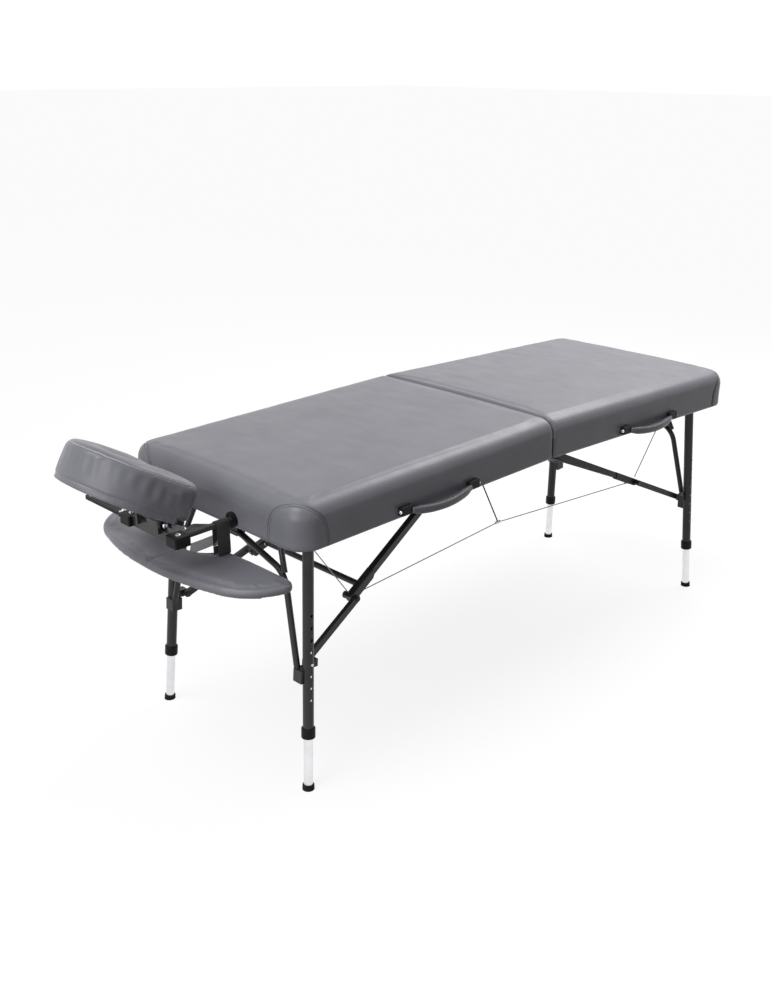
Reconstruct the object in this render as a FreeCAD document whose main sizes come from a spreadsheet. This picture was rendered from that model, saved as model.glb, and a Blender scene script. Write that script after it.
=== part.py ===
"""Folding massage table with a face cradle and an arm shelf, in millimetres."""
import FreeCAD, Part
import math
import os
import re
from types import SimpleNamespace

import Sketcher
from FreeCAD import Placement, Rotation, Vector

# Driving dimensions: millimetres, degrees and counts
DIMENSIONS = {
    # Table top
    "table_length": 1850,
    "table_width": 700,
    "peak_angle": 1.32,
    "hinge_height": 687,
    "rail_height": 60,
    "rail_thickness": 15,
    "rail_setback": 6,
    "cover_thickness": 3,
    "deck_thickness": 6,
    "deck_setback": 3,
    "pad_thickness": 51,
    "pad_crown": 5,
    "pad_edge_radius": 42,
    "pad_corner_radius": 60,
    "pad_seam_radius": 9,
    "pad_gap": 2,
    # Centre hinges
    "hinge_drop": 2.5,
    "hinge_spacing": 215,
    "hinge_length": 90,
    "hinge_leaf_width": 34,
    "hinge_leaf_thickness": 2,
    "knuckle_diameter": 8,
    "knuckle_gap": 0.3,
    "hinge_pin_diameter": 4,
    "pin_clearance": 0.05,
    # Carry handles
    "handle_inset": 458,
    "handle_span": 248,
    "handle_rise": 20,
    "mount_length": 40,
    "mount_depth": 14,
    "mount_height": 24,
    "grip_diameter": 20,
    "grip_bow": 20,
    "grip_sag": 12,
    # Leg pivots
    "leg_pivot_inset": 91,
    "leg_pivot_rise": 18.5,
    "pivot_tube_diameter": 22,
    "pivot_tube_wall": 2,
    "bearing_length": 40,
    "bearing_width": 28,
    "bearing_floor": 4,
    # Legs
    "leg_inset": 80,
    "leg_splay_length": 5,
    "leg_splay_width": 3,
    "leg_diameter": 28,
    "leg_wall": 2,
    "collar_height": 28,
    "collar_lip": 10,
    "collar_diameter": 36,
    "collar_clearance": 144,
    "inner_clearance": 0.08,
    "inner_wall": 1.6,
    "inner_length": 400,
    "foot_height": 13,
    "foot_sole": 5,
    "foot_top_diameter": 30,
    "foot_bottom_diameter": 32,
    "hole_diameter": 8,
    "hole_pitch": 32,
    "holes_above_button": 4,
    "holes_below_button": 3,
    "button_level": 345,
    "button_diameter": 7.4,
    "button_proud": 3,
    "button_length": 10,
    # End arch
    "arch_diameter": 16.5,
    "arch_offset": 12,
    "arch_foot_drop": 371.5,
    "arch_foot_gap": 26.5,
    "arch_shoulder_drop": 131,
    "arch_shoulder_inset": 146,
    "arch_shoulder_bend": 70,
    "arch_apex_drop": 73,
    "arch_apex_bend": 160,
    "strut_diameter": 15,
    "strut_top_inset": 200,
    "apex_bracket_width": 44,
    "apex_bracket_depth": 26,
    "foot_clamp_height": 34,
    "foot_clamp_depth": 20,
    # Braces
    "brace_pivot_inset": 40,
    "brace_pivot_rise": 11,
    "brace_top_half_span": 100,
    "knee_inset": 144,
    "channel_width": 18,
    "channel_height": 18,
    "channel_wall": 2,
    "channel_top_overhang": 11,
    "channel_knee_overhang": 11,
    "knee_block_length": 44,
    "knee_drop": 0.9,
    "crossbar_diameter": 17,
    "crossbar_setback": 42,
    "anchor_diameter": 8,
    "anchor_plate_thickness": 6,
    "anchor_plate_depth": 32,
    "anchor_side_gap": 1,
    # Lower links
    "link_pivot_drop": 352.5,
    "link_pivot_offset": 25,
    "link_thickness": 12,
    "link_height": 18,
    "link_foot_gap": 31.5,
    "link_side_gap": 4.3,
    "stud_diameter": 8,
    "stud_head_diameter": 13,
    "stud_head_height": 3,
    "stud_side_gap": 0.6,
    "link_bracket_height": 20,
    # Cables
    "cable_diameter": 3,
    "hanger_diameter": 3,
    "hanger_half_span": 7,
    "junction_inset": 188,
    "junction_drop": 245,
    "ferrule_diameter": 9,
    "ferrule_length": 22,
    # Face cradle
    "prong_half_spacing": 98,
    "prong_diameter": 16,
    "prong_rise": 20,
    "prong_insert": 63,
    "prong_reach": 137,
    "socket_diameter": 24,
    "socket_flange_diameter": 40,
    "socket_flange_thickness": 7,
    "block_length": 44,
    "block_width": 42,
    "block_height": 26,
    "block_drop": 5,
    "block_edge": 4,
    "cradle_bar_depth": 22,
    "cradle_bar_height": 26,
    "ear_thickness": 8,
    "ear_half_spacing": 44,
    "ear_radius": 13,
    "tilt_axis_rise": 23,
    "tilt_axis_reach": 8,
    "tilt_pin_diameter": 8,
    "tilt_side_gap": 0.3,
    "tilt_angle": 31,
    "platform_lift": 16,
    "platform_thickness": 10,
    "platform_margin": 20,
    "cushion_thickness": 92,
    "cushion_half_width": 142,
    "cushion_opening_half_width": 48,
    "cushion_arm_length": 136,
    "cushion_back_reach": 14,
    "cushion_edge_radius": 24,
    "lever_length": 168,
    "lever_width": 22,
    "lever_thickness": 9,
    "lever_hub_diameter": 28,
    "lever_pin_diameter": 8,
    "lever_post_length": 18,
    # Arm shelf
    "shelf_half_span": 346,
    "shelf_apex_reach": 193,
    "shelf_shoulder_reach": 160,
    "shelf_shoulder_half_span": 225,
    "shelf_bend_reach": 119,
    "shelf_bend_half_span": 303,
    "shelf_tip_reach": 40,
    "shelf_tip_radius": 30,
    "shelf_lobe_reach": 9,
    "shelf_lobe_half_span": 200,
    "shelf_notch_half_width": 80,
    "shelf_notch_start": 15,
    "shelf_notch_reach": 76,
    "shelf_thickness": 20,
    "shelf_edge_radius": 9,
    "shelf_drop": 81,
    "strap_width": 38,
    "strap_thickness": 2.5,
    "strap_reach": 18,
    "strap_play": 0.3,
    # Slack when edges are picked by where they lie
    "pick_slack": 1,
}

doc = FreeCAD.newDocument("massage_table")
sheet = doc.addObject("Spreadsheet::Sheet", "Dims")
for row, (alias, value) in enumerate(DIMENSIONS.items(), start=1):
    sheet.set(f"A{row}", alias)
    sheet.set(f"B{row}", str(value))
    sheet.setAlias(f"B{row}", alias)
doc.recompute()
d = SimpleNamespace(**{alias: float(sheet.get(alias)) for alias in DIMENSIONS})

X, Y, Z = Vector(1, 0, 0), Vector(0, 1, 0), Vector(0, 0, 1)
SIDES = (1, -1)
ENDS = ("head", "foot")
# In each half's own frame x runs outward from the hinge, so the near long side is +y at the head
NEAR = {"head": 1, "foot": -1}
subparts = {}


def formula(text):
    """Turn bare dimension names into references to the sheet."""
    return re.sub(r"[a-z_]+", lambda m: "Dims." + m[0] if m[0] in DIMENSIONS else m[0], text)


def bind(feature, **sizes):
    """Bind properties of a feature to formulas of the sheet."""
    for name, text in sizes.items():
        feature.setExpression(name, formula(text))
    return feature


def along(axis):
    return Rotation(Z, axis)


def at(x, y, z, rotation=None):
    return Placement(Vector(x, y, z), rotation or Rotation())


def box(length, width, height, place):
    solid = bind(doc.addObject("Part::Box", "Box"), Length=length, Width=width, Height=height)
    solid.Placement = place
    return solid


def cylinder(radius, height, place, angle="360"):
    solid = bind(doc.addObject("Part::Cylinder", "Cylinder"), Radius=radius, Height=height, Angle=angle)
    solid.Placement = place
    return solid


def fuse(*solids):
    joined = doc.addObject("Part::MultiFuse", "Fuse")
    joined.Shapes = list(solids)
    return joined


def cut(base, *tools):
    result = doc.addObject("Part::Cut", "Cut")
    result.Base = base
    result.Tool = tools[0] if len(tools) == 1 else fuse(*tools)
    return result


def rounded(base, radius, chosen):
    """Round the edges of a solid that the test picks."""
    doc.recompute()
    result = doc.addObject("Part::Fillet", "Rounded")
    result.Base = base
    picked = [i for i, edge in enumerate(base.Shape.Edges, start=1) if chosen(edge)]
    result.Edges = [(i, radius, radius) for i in picked]
    return result


def feature(shape):
    solid = doc.addObject("Part::Feature", "Solid")
    solid.Shape = shape
    return solid


def subpart(label, frame, *solids):
    """Name a sub-part and place it: one solid, or a group of separate solids."""
    if len(solids) == 1:
        result = solids[0]
        result.Placement = frame.multiply(result.Placement)
    else:
        result = doc.addObject("Part::Compound", label)
        result.Links = list(solids)
        result.Placement = frame
    result.Label = label
    subparts[label] = result
    return result


def is_upright(edge):
    """True for a straight edge parallel to z."""
    ends = [v.Point for v in edge.Vertexes]
    return len(ends) == 2 and (ends[1] - ends[0]).cross(Z).Length < 1e-6


def bent_path(points, bends):
    """Straight runs between points, joined by tangent arcs of the given radii."""
    edges = []
    start = points[0]
    for before, corner, after, bend in zip(points, points[1:], points[2:], bends):
        come = (before - corner).normalize()
        leave = (after - corner).normalize()
        half = come.getAngle(leave) / 2
        reach = bend / math.tan(half)
        middle = (come + leave).normalize()
        first, last = corner + come * reach, corner + leave * reach
        top = corner + middle * (bend / math.sin(half) - bend)
        edges.append(Part.LineSegment(start, first).toShape())
        edges.append(Part.Arc(first, top, last).toShape())
        start = last
    edges.append(Part.LineSegment(start, points[-1]).toShape())
    return Part.Wire(edges)


def swept(path, radius):
    """A round bar along a path of lines and arcs."""
    first = path.Edges[0]
    begin = first.valueAt(first.FirstParameter)
    heading = first.tangentAt(first.FirstParameter)
    profile = Part.Wire(Part.makeCircle(radius, begin, heading))
    return path.makePipeShell([profile], True, False)


def rod(start, end, radius):
    """A straight round bar between two points."""
    return Part.makeCylinder(radius, (end - start).Length, start, end - start)


# Frames and linkage
half_length = d.table_length / 2
half_width = d.table_width / 2
rail_end = half_length - d.cover_thickness
rail_outer = half_width - d.cover_thickness
rail_inner = rail_outer - d.rail_thickness
rail_top = d.hinge_drop + d.rail_height
deck_top = rail_top + d.deck_thickness
corner_radius = d.pad_corner_radius - d.cover_thickness
leg_top_half_span = half_width - d.leg_inset
arch_shoulder_half_span = half_width - d.arch_shoulder_inset
strut_top_half_span = half_width - d.strut_top_inset
brace_knee_half_span = half_width - d.knee_inset
junction_half_span = half_width - d.junction_inset


def leg_line(drop):
    """Distance of a leg's axis from the middle plane at a drop below the pivot."""
    return leg_top_half_span + drop * math.tan(math.radians(d.leg_splay_width))


arch_foot_half_span = leg_line(d.arch_foot_drop) - d.arch_foot_gap
link_foot_half_span = leg_line(d.link_pivot_drop) - d.link_foot_gap

half_frame = {
    "head": at(0, 0, d.hinge_height, Rotation(Z, 180)).multiply(at(0, 0, 0, Rotation(Y, d.peak_angle))),
    "foot": at(0, 0, d.hinge_height, Rotation(Y, d.peak_angle)),
}

leg_pivot = Vector(half_length - d.leg_pivot_inset, 0, d.hinge_drop + d.leg_pivot_rise)
leg_swing = Placement(leg_pivot, Rotation(Y, -d.leg_splay_length))
leg_frame = {end: half_frame[end].multiply(leg_swing) for end in ENDS}


def leg_axis(side):
    """Frame of one leg in its end frame: z up along the tube, origin level with the pivot."""
    return at(0, side * leg_top_half_span, 0, Rotation(X, side * d.leg_splay_width))


# Distance from the pivot to the floor along a leg's axis
foot_axis = leg_frame["foot"].multiply(leg_axis(1))
floor_drop = foot_axis.Base.z / foot_axis.Rotation.multVec(Z).z

link_pivot = leg_swing.multVec(Vector(-d.link_pivot_offset, 0, -d.link_pivot_drop))
link_pivot_folded = leg_pivot + Vector(-d.link_pivot_drop, 0, d.link_pivot_offset)
brace_pivot = Vector(d.brace_pivot_inset, 0, d.hinge_drop + d.brace_pivot_rise)
# The brace is straight at rest and doubles back when folded: an ellipse about its two end pivots
brace_reach = (link_pivot - brace_pivot).Length
folded_reach = (link_pivot_folded - brace_pivot).Length
knee_swing = brace_reach - folded_reach * math.cos(math.radians(d.knee_drop))
brace_length = (brace_reach**2 - folded_reach**2) / (2 * knee_swing)
link_length = brace_reach - brace_length
brace_line = link_pivot - brace_pivot
brace_slope = math.degrees(math.atan2(-brace_line.z, brace_line.x))
brace_swing = Placement(brace_pivot, Rotation(Y, brace_slope))
link_swing = Placement(link_pivot, Rotation(Y, brace_slope + 180))
channel_yaw = math.atan2(brace_knee_half_span - d.brace_top_half_span, brace_length)
channel_half_span = d.channel_width / 2 / math.cos(channel_yaw)
link_knee_half_span = brace_knee_half_span + channel_half_span + d.link_side_gap + d.link_thickness / 2
brace_frame = {end: half_frame[end].multiply(brace_swing) for end in ENDS}
link_frame = {end: half_frame[end].multiply(link_swing) for end in ENDS}


def table_frame(end):
    """Perimeter rails with rounded corner pieces."""
    side_length = "table_length / 2 - pad_corner_radius - rail_setback"
    end_width = "table_width - 2 * pad_corner_radius"
    hinge_width = "table_width - 2 * cover_thickness - 2 * rail_thickness"
    low = d.hinge_drop
    near_rail = box(side_length, "rail_thickness", "rail_height", at(d.rail_setback, rail_inner, low))
    far_rail = box(side_length, "rail_thickness", "rail_height", at(d.rail_setback, -rail_outer, low))
    end_start = at(rail_end - d.rail_thickness, -half_width + d.pad_corner_radius, low)
    end_rail = box("rail_thickness", end_width, "rail_height", end_start)
    if end == "head":
        end_rail = cut(end_rail, *[socket_bore(side) for side in SIDES])
    hinge_rail = box("rail_thickness", hinge_width, "rail_height", at(d.rail_setback, -rail_inner, low))
    corners = []
    for side in SIDES:
        turn = Rotation(Z, 0 if side > 0 else -90)
        middle = at(half_length - d.pad_corner_radius, side * (half_width - d.pad_corner_radius), low, turn)
        outer = cylinder("pad_corner_radius - cover_thickness", "rail_height", middle, "90")
        inner = cylinder("pad_corner_radius - cover_thickness - rail_thickness", "rail_height", middle, "90")
        corners.append(cut(outer, inner))
    subpart(f"{end}_frame", half_frame[end], near_rail, far_rail, end_rail, hinge_rail, *corners)


def socket_bore(side):
    level = d.hinge_drop + d.prong_rise
    place = at(half_length - d.prong_insert, side * d.prong_half_spacing, level, along(X))
    return cylinder("socket_diameter / 2", "prong_insert", place)


def outer_corner(reach):
    """Test for the two upright edges at the outer end."""
    return lambda edge: is_upright(edge) and edge.CenterOfMass.x > reach - d.pick_slack


def deck(end):
    """Plywood panel on top of the rails."""
    panel = box(
        "table_length / 2 - cover_thickness - deck_setback",
        "table_width - 2 * cover_thickness",
        "deck_thickness",
        at(d.deck_setback, -rail_outer, rail_top),
    )
    subpart(f"{end}_deck", half_frame[end], rounded(panel, corner_radius, outer_corner(rail_end)))


def side_cover(end):
    """Vinyl wrapped down over the rails: a band round three sides."""
    band_height = "rail_height + deck_thickness"
    start = at(d.rail_setback, -half_width, d.hinge_drop)
    outside = box("table_length / 2 - rail_setback", "table_width", band_height, start)
    inside = box(
        "table_length / 2 - cover_thickness",
        "table_width - 2 * cover_thickness",
        band_height,
        at(0, -rail_outer, d.hinge_drop),
    )
    band = cut(
        rounded(outside, d.pad_corner_radius, outer_corner(half_length)),
        rounded(inside, corner_radius, outer_corner(rail_end)),
    )
    if end == "head":
        band = cut(band, *[socket_bore(side) for side in SIDES])
    subpart(f"{end}_side_cover", half_frame[end], band)


def pad_profile(body):
    """Cross-section of the pad: flat base, straight sides, crowned top."""
    sketch = body.newObject("Sketcher::SketchObject", "PadProfile")
    plane = [f for f in body.Origin.OriginFeatures if f.Role == "YZ_Plane"][0]
    sketch.AttachmentSupport = (plane, [""])
    sketch.MapMode = "FlatFace"
    side_height = d.pad_thickness - d.pad_crown
    corners = [
        Vector(-half_width, 0, 0),
        Vector(half_width, 0, 0),
        Vector(half_width, side_height, 0),
        Vector(-half_width, side_height, 0),
    ]
    sketch.addGeometry(Part.LineSegment(corners[0], corners[1]))
    sketch.addGeometry(Part.LineSegment(corners[1], corners[2]))
    sketch.addGeometry(Part.Arc(corners[2], Vector(0, d.pad_thickness, 0), corners[3]))
    sketch.addGeometry(Part.LineSegment(corners[3], corners[0]))
    for first, second in ((0, 1), (3, 0)):
        sketch.addConstraint(Sketcher.Constraint("Coincident", first, 2, second, 1))
    sketch.addConstraint(Sketcher.Constraint("Coincident", 1, 2, 2, 1))
    sketch.addConstraint(Sketcher.Constraint("Coincident", 2, 2, 3, 1))
    sketch.addConstraint(Sketcher.Constraint("Horizontal", 0))
    sketch.addConstraint(Sketcher.Constraint("Vertical", 1))
    sketch.addConstraint(Sketcher.Constraint("Vertical", 3))
    sketch.addConstraint(Sketcher.Constraint("Symmetric", 0, 1, 0, 2, -1, 1))
    sketch.addConstraint(Sketcher.Constraint("Horizontal", 2, 1, 2, 2))
    width = sketch.addConstraint(Sketcher.Constraint("DistanceX", 0, 1, 0, 2, d.table_width))
    height = sketch.addConstraint(Sketcher.Constraint("DistanceY", 1, 1, 1, 2, side_height))
    crown_radius = (half_width**2 + d.pad_crown**2) / (2 * d.pad_crown)
    crown = sketch.addConstraint(Sketcher.Constraint("Radius", 2, crown_radius))
    crown_text = "((table_width / 2) ^ 2 + pad_crown ^ 2) / (2 * pad_crown)"
    names = {width: ("width", "table_width"), height: ("height", "pad_thickness - pad_crown")}
    names[crown] = ("crown", crown_text)
    for index, (name, text) in names.items():
        sketch.renameConstraint(index, name)
        sketch.setExpression(f"Constraints.{name}", formula(text))
    return sketch


def body_fillet(body, base, radius, chosen):
    """Round the chosen edges of a body's last feature."""
    doc.recompute()
    picked = [f"Edge{i}" for i, edge in enumerate(base.Shape.Edges, start=1) if chosen(edge)]
    fillet = body.newObject("PartDesign::Fillet", "Round")
    fillet.Base = (base, picked)
    bind(fillet, Radius=radius)
    doc.recompute()
    return fillet


def pad(end):
    """Foam pad with its crowned top and rolled edges."""
    body = doc.addObject("PartDesign::Body", "PadBody")
    block = body.newObject("PartDesign::Pad", "PadBlock")
    block.Profile = pad_profile(body)
    length = half_length - d.pad_gap / 2
    bind(block, Length="table_length / 2 - pad_gap / 2")
    corners = body_fillet(
        body, block, "pad_corner_radius", lambda e: is_upright(e) and e.CenterOfMass.x > length - d.pick_slack
    )
    low_edge = d.pad_thickness - d.pad_crown - d.pick_slack

    def rolled(edge):
        span = edge.BoundBox
        inside = abs(edge.CenterOfMass.y) < half_width - d.pad_corner_radius
        across = inside and span.XMax < length - d.pick_slack
        return span.ZMin > low_edge and span.XMax > d.pick_slack and not across

    rolls = body_fillet(body, corners, "pad_edge_radius", rolled)

    def seam(edge):
        span = edge.BoundBox
        return span.XMax < d.pick_slack and span.ZMax > d.pick_slack and span.ZMin > d.pick_slack / 2

    body_fillet(body, rolls, "pad_seam_radius", seam)
    body.Placement = at(d.pad_gap / 2, 0, deck_top)
    subpart(f"{end}_pad", half_frame[end], body)


def handle(end):
    """Two end mounts on the long side and a padded grip between them."""
    side = NEAR[end]
    level = d.hinge_drop + d.handle_rise
    middle = half_length - d.handle_inset
    mounts = []

    def outer_face(edge):
        return abs(edge.CenterOfMass.y) > half_width + d.pick_slack

    for way in SIDES:
        start = middle + way * d.handle_span / 2 - d.mount_length / 2
        low_side = half_width if side > 0 else -half_width - d.mount_depth
        place = at(start, low_side, level - d.mount_height / 2)
        block = box("mount_length", "mount_depth", "mount_height", place)
        mounts.append(rounded(block, d.mount_depth / 4, outer_face))
    subpart(f"{end}_handle_mounts", half_frame[end], *mounts)
    reach = d.handle_span / 2
    skin = half_width + d.mount_depth / 2
    path = Part.Wire(
        Part.Arc(
            Vector(middle - reach, side * skin, level),
            Vector(middle, side * (skin + d.grip_bow), level - d.grip_sag),
            Vector(middle + reach, side * skin, level),
        ).toShape()
    )
    grip = swept(path, d.grip_diameter / 2)
    low_side = half_width if side > 0 else -half_width - d.table_width
    room = Part.makeBox(
        d.handle_span - d.mount_length,
        d.table_width,
        d.table_width,
        Vector(middle - reach + d.mount_length / 2, low_side, -half_width),
    )
    subpart(f"{end}_handle_grip", half_frame[end], feature(grip.common(room)))


def knuckle_spans(end):
    """Stretches of a hinge's length, from its middle, that carry this half's knuckles."""
    third = d.hinge_length / 3
    if end == "foot":
        return [(-third / 2 + d.knuckle_gap, third - 2 * d.knuckle_gap)]
    return [(-d.hinge_length / 2, third), (third / 2, third)]


def hinge_leaves(end):
    """Hinge leaves under the hinge rail with knuckles round the pin."""
    leaves = []
    for middle in (-d.hinge_spacing, 0, d.hinge_spacing):
        root = d.knuckle_diameter / 2 + d.knuckle_gap
        low = d.hinge_drop - d.hinge_leaf_thickness
        width = "hinge_leaf_width - knuckle_diameter / 2 - knuckle_gap"
        plate = box(width, "hinge_length", "hinge_leaf_thickness", at(root, middle - d.hinge_length / 2, low))
        solids = [plate]
        bores = []
        for start, length in knuckle_spans(end):
            text = "hinge_length / 3" if end == "head" else "hinge_length / 3 - 2 * knuckle_gap"
            place = at(0, middle + start, 0, along(Y))
            solids.append(cylinder("knuckle_diameter / 2", text, place))
            neck = at(0, middle + start, low)
            solids.append(box("knuckle_diameter / 2 + knuckle_gap", text, "hinge_leaf_thickness", neck))
            bores.append(cylinder("hinge_pin_diameter / 2 + pin_clearance", text, place))
        leaves.append(cut(fuse(*solids), *bores))
    subpart(f"{end}_hinge_leaves", half_frame[end], *leaves)


def hinge_pins():
    """One loose pin through each centre hinge."""
    pins = []
    for middle in (-d.hinge_spacing, 0, d.hinge_spacing):
        start = at(0, middle - d.hinge_length / 2, d.hinge_height, along(Y))
        pins.append(cylinder("hinge_pin_diameter / 2", "hinge_length", start))
    subpart("hinge_pins", Placement(), *pins)


def leg_bearings(end):
    """Blocks under the deck that hold the leg pivot tube."""
    blocks = []
    for side in SIDES:
        low = d.hinge_drop + d.bearing_floor
        inner = rail_inner - d.bearing_width if side > 0 else -rail_inner
        place = at(leg_pivot.x - d.bearing_length / 2, inner, low)
        block = box("bearing_length", "bearing_width", "rail_height - bearing_floor", place)
        axis = at(leg_pivot.x, inner, leg_pivot.z, along(Y))
        bore = cylinder("pivot_tube_diameter / 2 + pin_clearance", "bearing_width", axis)
        blocks.append(cut(block, bore))
    subpart(f"{end}_leg_bearings", half_frame[end], *blocks)


def brace_anchor(end):
    """Cross rod near the hinge that the channels swing on, in two plates."""
    plate_inner = d.brace_top_half_span + channel_half_skew() + d.anchor_side_gap
    start = d.rail_setback + d.rail_thickness
    rod_half = plate_inner + d.anchor_plate_thickness
    rod_solid = feature(
        rod(
            brace_pivot - Y * rod_half,
            brace_pivot + Y * rod_half,
            d.anchor_diameter / 2,
        )
    )
    plates = []
    for side in SIDES:
        inner = plate_inner if side > 0 else -rod_half
        low = brace_pivot.z - d.anchor_diameter
        plate = feature(
            Part.makeBox(
                d.anchor_plate_depth, d.anchor_plate_thickness, rail_top - low, Vector(start, inner, low)
            ).cut(rod_solid.Shape)
        )
        plates.append(plate)
    subpart(f"{end}_brace_anchor", half_frame[end], rod_solid, *plates)


def channel_half_skew():
    """Half of the channel's width across, measured along y at the end past its top pivot."""
    return channel_half_span + d.channel_top_overhang * math.tan(channel_yaw)


def channel_place(side):
    """Frame of a channel: x along it from the top pivot to the knee."""
    return at(0, side * d.brace_top_half_span, 0, Rotation(Z, side * math.degrees(channel_yaw)))


def channel_box(length, start, width, height, rise):
    corner = Vector(start, -width / 2, -height / 2 + rise)
    return Part.makeBox(length, width, height, corner)


def channel(side):
    """U-channel, solid at the knee, with a cross bore for the anchor rod."""
    run = brace_length / math.cos(channel_yaw)
    whole = run + d.channel_top_overhang + d.channel_knee_overhang
    bar = channel_box(whole, -d.channel_top_overhang, d.channel_width, d.channel_height, 0)
    hollow = channel_box(
        whole - d.knee_block_length,
        -d.channel_top_overhang,
        d.channel_width - 2 * d.channel_wall,
        d.channel_height,
        -d.channel_wall,
    )
    place = channel_place(side)
    solid = bar.cut(hollow)
    solid.Placement = place
    reach = brace_knee_half_span
    bore = rod(Vector(0, -reach, 0), Vector(0, reach, 0), d.anchor_diameter / 2 + d.pin_clearance)
    return solid.cut(bore)


def brace(end):
    """Two channels that close in on the hinge, with a bar across the knees."""
    channels = [channel(side) for side in SIDES]
    reach = brace_knee_half_span
    spot = brace_length - d.crossbar_setback
    bar = rod(Vector(spot, -reach, 0), Vector(spot, reach, 0), d.crossbar_diameter / 2)
    inside = spot * math.tan(channel_yaw) + d.brace_top_half_span
    keep = Part.makeBox(
        d.crossbar_diameter, 2 * inside, d.crossbar_diameter,
        Vector(spot - d.crossbar_diameter / 2, -inside, -d.crossbar_diameter / 2),
    )
    bar = bar.common(keep)
    for solid in channels:
        bar = bar.cut(solid)
    middle = max(bar.Solids, key=lambda s: s.Volume)
    subpart(f"{end}_brace_channels", brace_frame[end], *[feature(c) for c in channels])
    subpart(f"{end}_brace_crossbar", brace_frame[end], feature(middle))


def lower_links(end):
    """Flat links from the knees down to the legs, each with a bolt at the knee."""
    links = []
    for side in SIDES:
        step = link_knee_half_span - link_foot_half_span
        yaw = math.atan2(side * step, link_length)
        run = link_length / math.cos(yaw)
        bar = Part.makeBox(
            run, d.link_thickness, d.link_height, Vector(0, -d.link_thickness / 2, -d.link_height / 2)
        )
        for spot in (0, run):
            side_face = Vector(spot, -d.link_thickness / 2, 0)
            bar = bar.fuse(Part.makeCylinder(d.link_height / 2, d.link_thickness, side_face, Y))
        bar = bar.removeSplitter()
        bar.Placement = at(0, side * link_foot_half_span, 0, Rotation(Z, math.degrees(yaw)))
        bore = rod(
            Vector(0, side * link_knee_half_span, 0),
            Vector(0, side * leg_top_half_span, 0),
            d.stud_diameter / 2 + d.pin_clearance,
        )
        skin = side * (link_knee_half_span + d.link_thickness / 2)
        middle = Vector(link_length, side * link_knee_half_span, 0)
        head = rod(middle, Vector(link_length, skin + side * d.stud_head_height, 0), d.stud_head_diameter / 2)
        shank_gap = d.stud_side_gap + d.stud_diameter / 2 * math.tan(channel_yaw)
        shank_end = side * (brace_knee_half_span + channel_half_span + shank_gap)
        shank = rod(middle, Vector(link_length, shank_end, 0), d.stud_diameter / 2)
        links.append(feature(bar.cut(bore).fuse([head, shank]).removeSplitter()))
    subpart(f"{end}_lower_links", link_frame[end], *links)


def pivot_tube(end):
    """Cross tube that the whole end frame swings on."""
    length = "table_width - 2 * cover_thickness - 2 * rail_thickness - 2 * knuckle_gap"
    start = at(0, -rail_inner + d.knuckle_gap, 0, along(Y))
    outside = cylinder("pivot_tube_diameter / 2", length, start)
    inside = cylinder("pivot_tube_diameter / 2 - pivot_tube_wall", length, start)
    subpart(f"{end}_pivot_tube", leg_frame[end], cut(outside, inside))


def pivot_core():
    """The pivot tube's outside, for coping what is welded to it."""
    return rod(Y * -half_width, Y * half_width, d.pivot_tube_diameter / 2)


def leg_bar(side):
    """The leg tube's outside, for coping what is welded to it."""
    bar = Part.makeCylinder(d.leg_diameter / 2, floor_drop, Vector(0, 0, -floor_drop))
    bar.Placement = leg_axis(side)
    return bar


def outer_tube_drop():
    return floor_drop - d.collar_clearance - d.collar_lip


def outer_legs(end):
    """Outer leg tubes, coped on the pivot tube, with a row of adjustment holes."""
    legs = []
    for side in SIDES:
        length = outer_tube_drop()
        tube = Part.makeCylinder(d.leg_diameter / 2, length, Vector(0, 0, -length))
        tube = tube.cut(Part.makeCylinder(d.leg_diameter / 2 - d.leg_wall, length, Vector(0, 0, -length)))
        for step in range(-int(d.holes_below_button), int(d.holes_above_button) + 1):
            spot = Vector(0, 0, -floor_drop + d.button_level + step * d.hole_pitch)
            tube = tube.cut(rod(spot, spot + Y * side * d.leg_diameter, d.hole_diameter / 2))
        tube.Placement = leg_axis(side)
        legs.append(feature(tube.cut(pivot_core())))
    subpart(f"{end}_outer_legs", leg_frame[end], *legs)


def leg_collars(end):
    """Moulded collars on the lower ends of the outer tubes."""
    collars = []
    for side in SIDES:
        low = -floor_drop + d.collar_clearance
        whole = cylinder("collar_diameter / 2", "collar_height", at(0, 0, low))
        whole = rounded(whole, d.collar_lip / 4, lambda e: e.BoundBox.XLength > d.leg_diameter)
        seat = cylinder("leg_diameter / 2", "collar_height - collar_lip", at(0, 0, low + d.collar_lip))
        throat = cylinder("leg_diameter / 2 - leg_wall", "collar_height", at(0, 0, low))
        collar = cut(whole, seat, throat)
        collar.Placement = leg_axis(side)
        collars.append(collar)
    subpart(f"{end}_leg_collars", leg_frame[end], *collars)


def arch_shoulder(side):
    return Vector(d.arch_offset, side * arch_shoulder_half_span, -d.arch_shoulder_drop)


def arch_line():
    """Path of the bent tube, just outboard of the legs so that it folds clear of the braces."""
    foot = Vector(d.arch_offset, arch_foot_half_span, -d.arch_foot_drop)
    shoulder = arch_shoulder(1)
    apex = Vector(d.arch_offset, 0, -d.arch_apex_drop)
    mirrored = [Vector(p.x, -p.y, p.z) for p in (shoulder, foot)]
    bends = [d.arch_shoulder_bend, d.arch_apex_bend, d.arch_shoulder_bend]
    return bent_path([foot, shoulder, apex] + mirrored, bends)


def strut_bar(side):
    """A strut's full length, before coping."""
    high = Vector(0, side * strut_top_half_span, 0)
    return rod(arch_shoulder(side), high, d.strut_diameter / 2)


def arch(end):
    """Bent tube between the legs with two struts up to the pivot tube."""
    bow = swept(arch_line(), d.arch_diameter / 2)
    solids = [feature(bow)]
    for side in SIDES:
        strut = strut_bar(side).cut(bow).cut(pivot_core())
        pieces = sorted(strut.Solids, key=lambda s: s.Volume)
        solids.append(feature(pieces[-1]))
    subpart(f"{end}_arch", leg_frame[end], *solids)


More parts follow.
